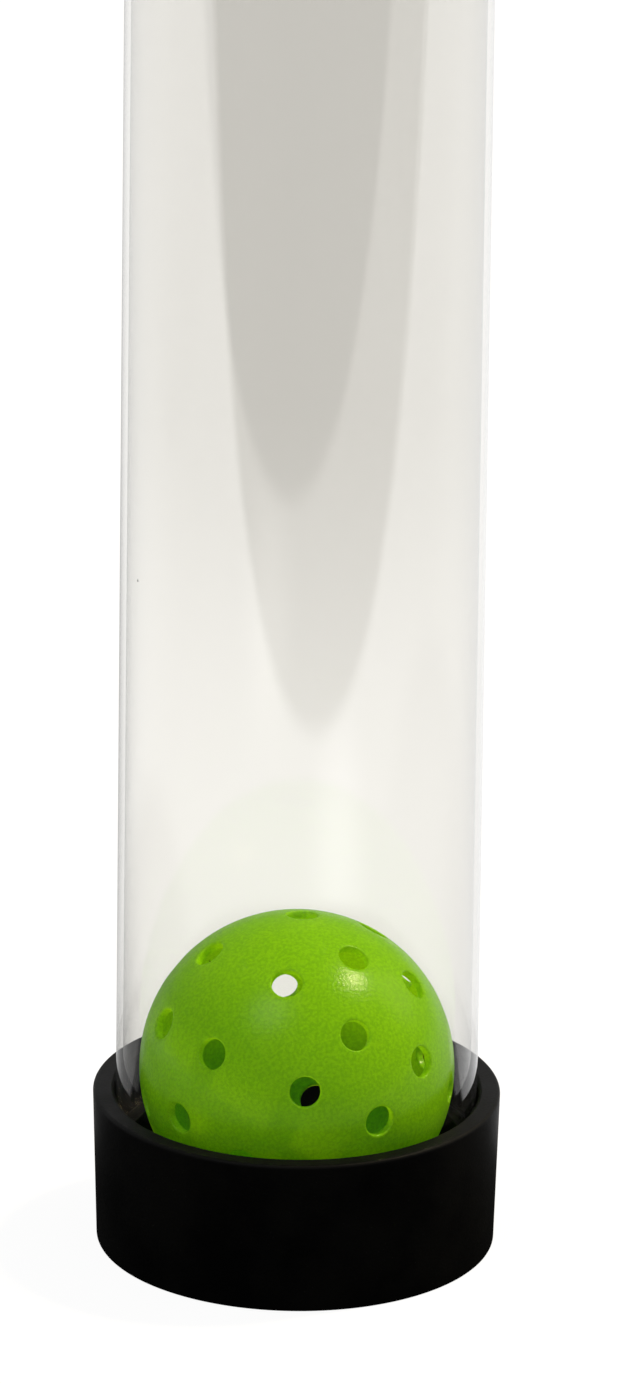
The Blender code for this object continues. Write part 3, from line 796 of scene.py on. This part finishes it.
def finger_shape():
    """The finger on the +X side. It points from its pivot at the centre of the ball."""
    low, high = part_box("pickleball")
    radius = (high.z - low.z) / 2
    knob = FINGER_ROOT_THICKNESS / 2
    pivot_radius = TUBE_RADIUS - RING_WALL / 2
    pivot_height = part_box("retainer_ring")[0].z + RING_FLOOR + GAP + knob
    rise = low.z + radius - pivot_height
    slope = math.degrees(math.atan2(rise, -pivot_radius))
    tip = FINGER_TIP_THICKNESS / 2
    length = math.hypot(rise, pivot_radius) - radius - GAP
    outline = arc((0, 0), knob, 90, 270, FINGER_ROOT_STEPS)
    outline += arc((length - tip, 0), tip, -90, 90, FINGER_TIP_STEPS)
    bm = eased(extrude(outline, -FINGER_WIDTH / 2, FINGER_WIDTH / 2), SMALL_ROUND)
    narrowing = 1 - FINGER_TIP_WIDTH / FINGER_WIDTH
    for vert in bm.verts:
        vert.co.x *= 1 - narrowing * max(0.0, vert.co.y) / length
    blade_to_x = Matrix.Rotation(math.radians(-90), 4, "Z")
    raise_blade = Matrix.Rotation(math.radians(-slope), 4, "Y")
    at_pivot = Matrix.Translation((pivot_radius, 0, pivot_height))
    return moved(bm, at_pivot @ raise_blade @ blade_to_x)


def make_fingers(material):
    for i in range(FINGER_COUNT):
        body = f"finger_{i + 1}"
        finger = piece_from(f"{body}_tongue", moved(finger_shape(), around(i, FINGER_COUNT)))
        even_shading(finger)
        stand_for(finger, f"retainer_{body}", body, material)


def groove(radius, height):
    """A rounded groove in an outer wall, as profile points from below to above."""
    half = GROOVE_WIDTH / 2
    sweep = (half**2 + GROOVE_DEPTH**2) / (2 * GROOVE_DEPTH)
    angle = math.degrees(math.asin(half / sweep))
    centre = (radius + sweep - GROOVE_DEPTH, height)
    return arc(centre, sweep, 180 + angle, 180 - angle, WIDE_ROUND_STEPS)


def ear_outline():
    """An ear's side view: a knuckle on a bracket that runs down the collar's wall."""
    root = TOP_COLLAR_RADIUS - TOP_COLLAR_WALL / 2
    shoulder = TOP_COLLAR_TOP - GAP
    foot = HINGE_Z - EAR_DEPTH
    outline = arc((HINGE_Y, HINGE_Z), KNUCKLE_RADIUS, *EAR_ARC, EAR_STEPS)
    outline += [(TOP_COLLAR_RADIUS - GAP, shoulder), (root, shoulder)]
    return outline + [(root, foot), (TOP_COLLAR_RADIUS + GAP, foot)]


def hinge_drill():
    reach = EAR_OUTER_X + KNUCKLE_RADIUS
    return moved(rod(HINGE_PIN_RADIUS + GAP, -reach, reach), AT_HINGE @ ALONG_X)


def make_top_collar(material):
    """The ring over the tube's top end, with two fine grooves and the hinge's ears."""
    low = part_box("top_collar")[0].z
    edge = TOP_COLLAR_ROUND
    rim = SMALL_ROUND
    profile = [(SOCKET_RADIUS, low)]
    profile += arc((TOP_COLLAR_RADIUS - edge, low + edge), edge, -90, 0, WIDE_ROUND_STEPS)
    for height in GROOVE_HEIGHTS:
        profile += groove(TOP_COLLAR_RADIUS, low + height)
    profile += arc((TOP_COLLAR_RADIUS - rim, TOP_COLLAR_TOP - rim), rim, 0, 90)
    profile += arc((BORE_RADIUS + rim, TOP_COLLAR_TOP - rim), rim, 90, 180)
    profile += [(BORE_RADIUS, TUBE_TOP + GAP), (SOCKET_RADIUS, TUBE_TOP + GAP)]
    collar = piece_from("hinge_collar", revolve(profile))
    ears = [
        eased(extrude(ear_outline(), *span(side, EAR_INNER_X, EAR_OUTER_X)), EAR_ROUND)
        for side in SIDES
    ]
    combine(collar, gather(ears), "UNION")
    combine(collar, rivet_drills(), "DIFFERENCE")
    combine(collar, hinge_drill(), "DIFFERENCE")
    even_shading(collar)
    stand_for(collar, "top_collar", "tube", material)


def make_rivets(material):
    """Dome-headed rivets, each with a thin flange, through the collar and the tube's wall."""
    shank = RIVET_DIAMETER / 2
    head_base = TOP_COLLAR_RADIUS + GAP
    tail_base = BORE_RADIUS - GAP
    profile = [
        (0, tail_base - RIVET_TAIL_HEIGHT),
        (RIVET_TAIL_RADIUS - RIVET_FLANGE, tail_base - RIVET_TAIL_HEIGHT),
        (RIVET_TAIL_RADIUS, tail_base - RIVET_TAIL_HEIGHT + RIVET_FLANGE),
        (RIVET_TAIL_RADIUS, tail_base),
        (shank, tail_base),
        (shank, head_base),
        (RIVET_HEAD_RADIUS, head_base),
    ]
    for turn in quarter_turns(RIVET_DOME_STEPS):
        across = RIVET_HEAD_RADIUS * math.cos(turn)
        height = RIVET_FLANGE + (RIVET_HEAD_HEIGHT - RIVET_FLANGE) * math.sin(turn)
        profile.append((max(across, 0.0), head_base + height))
    for i, turn in enumerate(rivet_turns()):
        rivet = piece_from(f"rivet_{i + 1}", moved(revolve(profile, False, PIN_STEPS), turn))
        stand_for(rivet, f"collar_rivet_{i + 1}", "tube", material)


def make_hinge_pin(material):
    reach = EAR_OUTER_X + HINGE_PIN_OVERHANG
    shape = round_ended_rod(HINGE_PIN_RADIUS, -reach, reach, PIN_END_ROUND)
    pin = piece_from("hinge_rod", moved(shape, AT_HINGE @ ALONG_X))
    stand_for(pin, "lid_hinge_pin", "tube", material)


def lid_tongue():
    """The lid's own knuckle, with the tongue that joins it to the disc."""
    root = TOP_COLLAR_RADIUS - LID_SKIRT_WALL
    angle = math.degrees(math.asin(LID_THICKNESS / 2 / KNUCKLE_RADIUS))
    centre = (HINGE_Y, HINGE_Z)
    outline = arc(centre, KNUCKLE_RADIUS, angle - 180, 180 - angle, KNUCKLE_STEPS)
    outline += [(root, LID_TOP), (root, LID_BOTTOM)]
    return eased(extrude(outline, -LID_KNUCKLE_WIDTH / 2, LID_KNUCKLE_WIDTH / 2), EAR_ROUND)


def thumb_tab():
    """A flat tab with round corners, drawn from above and raised to the lid's thickness."""
    half = TAB_WIDTH / 2 - TAB_CORNER
    front = TAB_CORNER - REACH
    outline = arc((-half, front), TAB_CORNER, 180, 270, TAB_CORNER_STEPS)
    outline += arc((half, front), TAB_CORNER, 270, 360, TAB_CORNER_STEPS)
    root = -math.sqrt((TOP_COLLAR_RADIUS - LID_SKIRT_WALL) ** 2 - (TAB_WIDTH / 2) ** 2)
    outline += [(TAB_WIDTH / 2, root), (-TAB_WIDTH / 2, root)]
    tab = eased(extrude(outline, 0, LID_THICKNESS), TAB_EDGE_ROUND)
    upright = Matrix(((0, 1, 0, 0), (0, 0, 1, 0), (1, 0, 0, LID_BOTTOM), (0, 0, 0, 1)))
    return moved(tab, upright)


def tab_ridges():
    """Low bars across the thumb tab, for grip."""
    ridges = []
    for y in RIDGE_PLACES:
        reach = RIDGE_HALF_LENGTH
        ridge = round_ended_rod(RIDGE_RADIUS, -reach, reach, PIN_END_ROUND, ROD_STEPS)
        at_ridge = Matrix.Translation((0, y, LID_TOP - RIDGE_SINK))
        ridges.append(moved(ridge, at_ridge @ ALONG_X))
    return ridges


def handle_lug(side):
    """An upright plate on the lid that holds one end of the handle's pivot."""
    outline = arc((0, PIVOT_Z), LUG_ROUND, 0, 180, ROD_STEPS)
    sunk = LID_TOP - LID_THICKNESS / 2
    outline += [(-LUG_FOOT / 2, LID_TOP), (-LUG_FOOT / 2, sunk)]
    outline += [(LUG_FOOT / 2, sunk), (LUG_FOOT / 2, LID_TOP)]
    return eased(extrude(outline, *span(side, LUG_INNER_X, LUG_OUTER_X)), LUG_EDGE_ROUND)


def pivot_drills():
    """The holes for the handle's pivots, through the lugs and the handle's eyes."""
    ends = (LUG_INNER_X - LUG_THICKNESS, HANDLE_OUTER_X + LUG_THICKNESS)
    radius = HANDLE_PIN_RADIUS + GAP
    return [moved(rod(radius, *span(side, *ends)), AT_PIVOT @ ALONG_X) for side in SIDES]


def make_lid(material):
    """The lid: a disc with a sunk middle, a skirt, a ridged thumb tab and two lugs."""
    radius = TOP_COLLAR_RADIUS
    edge = LID_EDGE_ROUND
    skirt = BORE_RADIUS - SKIRT_GAP
    skirt_bottom = LID_BOTTOM - LID_SKIRT_DEPTH
    panel_edge = (PANEL_RADIUS, LID_TOP - PANEL_ROUND)
    panel_foot = (PANEL_RADIUS - PANEL_DEPTH, LID_TOP - PANEL_DEPTH + PANEL_ROUND)
    profile = [
        (0, LID_BOTTOM),
        (skirt - LID_SKIRT_WALL, LID_BOTTOM),
        (skirt - LID_SKIRT_WALL, skirt_bottom),
        (skirt - edge, skirt_bottom),
        (skirt, skirt_bottom + edge),
        (skirt, LID_BOTTOM),
        (radius, LID_BOTTOM),
        *arc((radius - edge, LID_TOP - edge), edge, 0, 90, WIDE_ROUND_STEPS),
        *arc(panel_edge, PANEL_ROUND, 90, 135, BLUNT_ROUND_STEPS),
        *arc(panel_foot, PANEL_ROUND, -45, -90, BLUNT_ROUND_STEPS),
        (0, LID_TOP - PANEL_DEPTH),
    ]
    lid = piece_from("lid_cover", revolve(profile, False))
    fittings = [lid_tongue(), thumb_tab()] + [handle_lug(side) for side in SIDES]
    combine(lid, gather(fittings), "UNION")
    combine(lid, gather(tab_ridges()), "UNION")
    combine(lid, gather([hinge_drill()] + pivot_drills()), "DIFFERENCE")
    even_shading(lid)
    stand_for(lid, "lid", "lid", material)


def bail_sweep(section, start, end, steps):
    """Sweeps a closed (radius, height) section about the lid's centre, with flat ends."""
    bm = bmesh.new()
    verts = [bm.verts.new((r, 0, z)) for r, z in section]
    face = bm.faces.new(verts)
    bmesh.ops.rotate(bm, verts=bm.verts, matrix=Matrix.Rotation(math.radians(start), 3, "Z"))
    angle = math.radians(end - start)
    bmesh.ops.spin(bm, geom=[face], cent=(0, 0, 0), axis=(0, 0, 1), angle=angle, steps=steps)
    return outward(bm)


def make_handle(material):
    """The half-ring bail, with an eye at each end."""
    section = arc((HANDLE_RADIUS, PIVOT_Z), HANDLE_THICKNESS / 2, 0, 360, ROD_STEPS)[:-1]
    handle = piece_from("bail_bar", bail_sweep(section, -180, 0, HANDLE_STEPS))
    eyes = []
    for side in SIDES:
        ends = span(side, HANDLE_INNER_X, HANDLE_OUTER_X)
        eye = round_ended_rod(HANDLE_EYE_RADIUS, *ends, EAR_ROUND)
        eyes.append(moved(eye, AT_PIVOT @ ALONG_X))
    combine(handle, gather(eyes), "UNION")
    combine(handle, gather(pivot_drills()), "DIFFERENCE")
    even_shading(handle)
    stand_for(handle, "carry_handle", "handle", material)


def grip_stations(length):
    """The sleeve's skin as (place along it, radius): its outside, then back along its bore."""
    bore = HANDLE_THICKNESS / 2 + GAP
    outside = GRIP_DIAMETER / 2
    stations = []
    for turn in quarter_turns(GRIP_END_STEPS):
        lift = (outside - bore) * math.sin(turn) - GRIP_SWELL
        stations.append((GRIP_END_ROUND * (1 - math.cos(turn)), bore + max(lift, 0.0)))
    end = [(length - along, radius) for along, radius in reversed(stations)]
    for i in range(1, GRIP_LENGTH_STEPS):
        share = i / GRIP_LENGTH_STEPS
        swell = GRIP_SWELL * (1 - abs(2 * share - 1) ** GRIP_SWELL_POWER) - GRIP_SWELL
        along = GRIP_END_ROUND + (length - 2 * GRIP_END_ROUND) * share
        stations.append((along, outside + swell))
    back = [(length * (1 - i / GRIP_BORE_STEPS), bore) for i in range(1, GRIP_BORE_STEPS)]
    return stations + end + back


def make_grip(material):
    """The foam sleeve round the bail, with round ends and a faint swell."""
    start, end = (math.radians(-90 + way * GRIP_ARC / 2) for way in (-1, 1))
    bm = bmesh.new()
    rings = []
    for along, radius in grip_stations((end - start) * HANDLE_RADIUS):
        turn = Matrix.Rotation(start + along / HANDLE_RADIUS, 3, "Z")
        circle = arc((HANDLE_RADIUS, PIVOT_Z), radius, 0, 360, GRIP_TURN_STEPS)[:-1]
        rings.append([bm.verts.new(turn @ Vector((r, 0, z))) for r, z in circle])
    join_rings(bm, rings, True)
    bmesh.ops.remove_doubles(bm, verts=bm.verts, dist=WELD)
    grip = piece_from("foam_sleeve", outward(bm))
    stand_for(grip, "handle_grip", "handle", material)


def make_handle_pins(material):
    """Pins with domed heads, each through an eye of the handle and a lug of the lid."""
    under_head = HANDLE_OUTER_X + GAP
    top = under_head + HANDLE_PIN_HEAD_HEIGHT
    profile = [
        (0, LUG_INNER_X - GAP),
        (HANDLE_PIN_RADIUS, LUG_INNER_X - GAP),
        (HANDLE_PIN_RADIUS, under_head),
        (HANDLE_PIN_HEAD_RADIUS, under_head),
    ]
    for turn in quarter_turns(PIN_DOME_STEPS):
        across = HANDLE_PIN_HEAD_RADIUS * math.cos(turn)
        if across > PIN_SOCKET_RADIUS:
            height = PIN_RIM + (HANDLE_PIN_HEAD_HEIGHT - PIN_RIM) * math.sin(turn)
            profile.append((across, under_head + height))
    profile += [
        (PIN_SOCKET_RADIUS, top),
        (PIN_SOCKET_RADIUS, top - PIN_SOCKET_DEPTH),
        (0, top - PIN_SOCKET_DEPTH),
    ]
    for side, angle in (("right", 0), ("left", 180)):
        turn = Matrix.Rotation(math.radians(angle), 4, "Z")
        shape = moved(revolve(profile, False, PIN_STEPS), AT_PIVOT @ turn @ ALONG_X)
        pin = piece_from(f"pivot_pin_{side}", shape)
        stand_for(pin, f"handle_pin_{side}", "lid", material)


def ball_axes():
    """Unit vectors from the ball's centre to its holes, in the row frame."""
    turn = Euler([math.radians(angle) for angle in BALL_ANGLES]).to_matrix()
    places = [
        (latitude, first + 360.0 * i / count)
        for latitude, count, first in HOLE_RINGS
        for i in range(count)
    ]
    for i, (latitude, longitude) in enumerate(places):
        north, east = HOLE_DRIFTS.get(i, (0.0, 0.0))
        lat = math.radians(latitude + north)
        lon = math.radians(longitude + east)
        across = math.cos(lat)
        yield turn @ Vector((across * math.cos(lon), across * math.sin(lon), math.sin(lat)))


def hole_ring(axis, distance, height, steps=HOLE_STEPS):
    """Points of a circle about a hole's axis, at a height above the ball's centre."""
    side = axis.orthogonal().normalized()
    other = axis.cross(side)
    turns = [math.tau * i / steps for i in range(steps)]
    return [
        axis * height + (side * math.cos(t) + other * math.sin(t)) * distance for t in turns
    ]


def pierced_sphere(radius, axes, grid):
    """A sphere's mesh with round openings: points, triangles and each opening's first index.

    It is the convex hull of rings of points round the openings and an even spiral between,
    without the lids of the openings.
    """
    points = []
    openings = []
    for axis in axes:
        openings.append(len(points))
        for spread, steps in HOLE_COLLARS:
            distance = HOLE_EDGE + spread
            points += hole_ring(axis, distance, math.sqrt(radius**2 - distance**2), steps)
    clear = math.cos(math.asin((HOLE_EDGE + HOLE_CLEARANCE) / radius))
    count = int(4 * math.pi * radius**2 / grid**2)
    golden = math.pi * (3 - math.sqrt(5))
    for i in range(count):
        height = 1 - 2 * (i + 0.5) / count
        across = math.sqrt(1 - height**2)
        way = Vector((across * math.cos(golden * i), across * math.sin(golden * i), height))
        if all(way.dot(axis) < clear for axis in axes):
            points.append(way * radius)

    hull = bmesh.new()
    for point in points:
        hull.verts.new(point)
    hull.verts.index_update()
    bmesh.ops.convex_hull(hull, input=hull.verts)
    inside = math.cos(math.asin(HOLE_EDGE / radius)) * HOLE_MARGIN
    triangles = []
    for face in hull.faces:
        way = face.calc_center_median().normalized()
        if all(way.dot(axis) < inside for axis in axes):
            triangles.append([vert.index for vert in face.verts])
    hull.free()
    return points, triangles, openings


def make_ball(material):
    """The ball's shell, finer than its solid, with forty round-edged holes."""
    low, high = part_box("pickleball")
    centre = (low + high) / 2
    radius = (high.z - low.z) / 2
    axes = list(ball_axes())
    outer, outer_faces, outer_open = pierced_sphere(radius, axes, BALL_GRID)
    inner, inner_faces, inner_open = pierced_sphere(radius - BALL_WALL, axes, BALL_INNER_GRID)
    points = outer + inner
    faces = outer_faces + [[i + len(outer) for i in face] for face in inner_faces]

    top = math.sqrt(radius**2 - HOLE_EDGE**2)
    bottom = math.sqrt((radius - BALL_WALL) ** 2 - HOLE_EDGE**2)
    turns = quarter_turns(HOLE_ROUND_STEPS)[1:]
    bends = [(BALL_HOLE_ROUND * math.sin(t), BALL_HOLE_ROUND * (1 - math.cos(t))) for t in turns]
    rings = [(HOLE_EDGE - inward, top - drop) for inward, drop in bends]
    rings += [(HOLE_EDGE - inward, bottom + rise) for inward, rise in reversed(bends)]
    for axis, first, last in zip(axes, outer_open, inner_open):
        starts = [first]
        for distance, height in rings:
            starts.append(len(points))
            points += hole_ring(axis, distance, height)
        starts.append(last + len(outer))
        for a, b in zip(starts, starts[1:]):
            for i in range(HOLE_STEPS):
                j = (i + 1) % HOLE_STEPS
                faces.append([a + i, a + j, b + j, b + i])

    mesh = bpy.data.meshes.new("ball_shell")
    mesh.from_pydata([centre + point for point in points], [], faces)
    bm = bmesh.new()
    bm.from_mesh(mesh)
    bmesh.ops.holes_fill(bm, edges=bm.edges, sides=3)  # slivers that went with the lids
    outward(bm).to_mesh(mesh)
    bm.free()
    mesh.shade_smooth()
    ball = add_object("ball_shell", mesh)
    stand_for(ball, "pickleball", "ball", material)


def mirrored_level(tree):
    """Painted reflections: how bright the floor shows in gloss, by its place."""
    place = position(tree)
    parts = add_node(tree, "SeparateXYZ", {0: place})
    across, depth = parts.outputs["X"], parts.outputs["Y"]
    distance = distance_from(tree, (0.0, 0.0))
    least = math_node(tree, "MAXIMUM", distance, NEAR_AXIS)
    rearward = math_node(tree, "DIVIDE", depth, least)

    # painted reflections: brighter in front, paler behind, darker behind to the left
    front = smooth_step(tree, distance, *FRONT_REACH, *FRONT_LEVELS)
    left = smooth_step(tree, distance, *BACK_REACH, *BACK_LEFT_LEVELS)
    beside = smooth_step(tree, rearward, *EDGE_TO_BACK, 1.0, LEFT_EDGE_SHARE)
    left = math_node(tree, "MULTIPLY", left, beside)
    right = smooth_step(tree, distance, *BACK_REACH, *BACK_RIGHT_LEVELS)
    behind = between(tree, smooth_step(tree, across, -BACK_CHANGE, BACK_CHANGE), left, right)
    lit = between(tree, smooth_step(tree, rearward, *FRONT_TO_BACK), front, behind)

    # painted highlight in the tube's reflection
    from_hot = distance_from(tree, HOT_SPOT)
    hot = smooth_step(tree, from_hot, 0.0, HOT_SPOT_RADIUS, HOT_SPOT_LEVEL, 0.0)
    lit = math_node(tree, "ADD", lit, hot)
    # painted shade in the tube's reflection
    from_dim = distance_from(tree, DIM_SPOT)
    dim = smooth_step(tree, from_dim, *DIM_SPOT_RADIUS, DIM_SPOT_SHARE, 1.0)
    lit = math_node(tree, "MULTIPLY", lit, dim)

    # painted darkness beyond a bent edge, seen in the tube's reflection
    rise = math_node(tree, "MULTIPLY_ADD", across, DARK_EDGE_BEND, DARK_EDGE_SLOPE)
    reach = math_node(tree, "SUBTRACT", math_node(tree, "MULTIPLY", rise, across), depth)
    near_end, far_end = (DARK_EDGE_DISTANCE + way * DARK_EDGE_BLUR for way in (-1, 1))
    inside = smooth_step(tree, reach, near_end, far_end, 1.0, 0.0)
    lit = math_node(tree, "MULTIPLY", lit, inside)

    # painted shade round the foot, which only the tube's near wall mirrors
    from_foot = vector_node(tree, "SUBTRACT", place, (*FOOT_CENTRE, 0.0)).outputs["Vector"]
    in_reach = vector_node(tree, "DIVIDE", from_foot, (*FOOT_REACH, 1.0)).outputs["Vector"]
    share = vector_node(tree, "LENGTH", in_reach).outputs["Value"]
    clear = smooth_step(tree, share, 1.0 - FOOT_BLUR, 1.0 + FOOT_BLUR)
    clear = math_node(tree, "MAXIMUM", clear, smooth_step(tree, depth, *FOOT_BACK))
    clear = math_node(tree, "MAXIMUM", clear, through_both_walls(tree))
    level = between(tree, clear, FOOT_LEVEL, lit)
    return math_node(tree, "MAXIMUM", level, DARK_LEVEL)


def floor_material():
    """White to the camera, with the object's shadow, painted shade through both walls of the
    tube and a painted shadow inside the collar's foot; a plain pale floor to the light; and
    painted reflections to gloss.
    """
    made, tree = new_material("floor_white")
    distance = distance_from(tree, (0.0, 0.0))
    # painted shade: seen through both walls, the floor glows less with the distance
    through = smooth_step(tree, distance, *THROUGH_REACH, THROUGH_NEAR, THROUGH_FAR)
    strength = between(tree, through_both_walls(tree), FLOOR_GLOW, through)
    # painted shadow: the floor's glow turned down inside the collar's foot
    under = smooth_step(tree, distance, *UNDER_REACH, UNDER_LEVEL, 1.0)
    strength = math_node(tree, "MULTIPLY", strength, under)
    glow = result(tree, "Emission", {"Color": WHITE, "Strength": strength})
    pale = result(tree, "BsdfDiffuse", {"Color": grey(FLOOR_PALE)})
    seen = result(tree, "AddShader", {0: glow, 1: pale})
    bounce = result(tree, "BsdfDiffuse", {"Color": grey(FLOOR_BOUNCE)})
    mirrored = result(tree, "Emission", {"Color": WHITE, "Strength": mirrored_level(tree)})
    to_camera = is_ray(tree, "Is Camera Ray", "Is Transmission Ray")
    plain = mixed_shader(tree, to_camera, bounce, seen)
    return finished(made, mixed_shader(tree, is_ray(tree, "Is Glossy Ray"), plain, mirrored))


def make_floor():
    mesh = bpy.data.meshes.new("floor")
    half = FLOOR_SIZE / 2
    corners = [(-half, -half, 0), (half, -half, 0), (half, half, 0), (-half, half, 0)]
    mesh.from_pydata(corners, [], [(0, 1, 2, 3)])
    mesh.materials.append(floor_material())
    floor = add_object("floor", mesh)
    floor.location.z = -FLOOR_DROP


def make_world():
    """White all round, and a plain level of light. Seen through both walls it is dimmer, a
    painted shade, and dimmer still in the gloss of what the tube holds, a painted reflection.
    """
    world = bpy.data.worlds.new("studio")
    bpy.context.scene.world = world
    world.use_nodes = True
    tree = world.node_tree
    tree.nodes.clear()
    shown = is_ray(tree, "Is Camera Ray", "Is Glossy Ray", "Is Transmission Ray")
    # painted shade through both walls, dimmer still in the gloss of what the tube holds
    as_floor = THROUGH_FAR + 1.0 - FLOOR_GLOW
    beyond = between(tree, is_ray(tree, "Is Glossy Ray"), as_floor, BALL_SKY)
    strength = between(tree, through_both_walls(tree), 1.0, beyond)
    backdrop = result(tree, "Background", {"Color": WHITE, "Strength": strength})
    ambient = result(tree, "Background", {"Color": WHITE, "Strength": WORLD_AMBIENT})
    add_node(tree, "OutputWorld", {"Surface": mixed_shader(tree, shown, ambient, backdrop)})


def make_lamps():
    for name, place, size, power, colour in LAMPS:
        lamp = bpy.data.lights.new(name, "AREA")
        lamp.shape = "DISK"
        lamp.size = size
        lamp.energy = power
        lamp.color = colour
        holder = add_object(name, lamp)
        holder.location = place
        aim = LAMP_TARGET - Vector(place)
        holder.rotation_euler = aim.to_track_quat("-Z", "Y").to_euler()


def make_camera():
    lens = bpy.data.cameras.new("camera")
    lens.sensor_width = SENSOR_SIZE
    lens.lens = FOCAL_LENGTH
    lens.clip_start, lens.clip_end = CAMERA_CLIP
    camera = add_object("camera", lens)
    sine, cosine = math.sin(CAMERA_ELEVATION), math.cos(CAMERA_ELEVATION)
    back = Vector((0, -cosine, sine))
    roll = Matrix.Rotation(CAMERA_ROLL, 3, back)
    right = roll @ Vector((1, 0, 0))
    up = roll @ Vector((0, sine, cosine))
    facing = Matrix((right, up, back)).transposed().to_4x4()
    camera.matrix_world = Matrix.Translation(CAMERA_TARGET + back * CAMERA_DISTANCE) @ facing
    bpy.context.scene.camera = camera


def dress():
    """Makes the pieces that stand for the CAD nodes."""
    plastic = moulded("black_plastic")
    pin_steel = steel("pin_steel")
    make_tube(clear_plastic())
    make_pickup_collar(moulded("black_rubber"))
    make_retainer_ring(plastic)
    make_fingers(moulded("finger_plastic"))
    make_top_collar(plastic)
    make_rivets(steel("rivet_steel"))
    make_hinge_pin(pin_steel)
    make_lid(plastic)
    make_handle(plastic)
    make_grip(moulded("grip_foam"))
    make_handle_pins(pin_steel)
    make_ball(ball_plastic())


bpy.context.scene.view_settings.view_transform = "Standard"
dress()
make_floor()
make_world()
make_lamps()
make_camera()
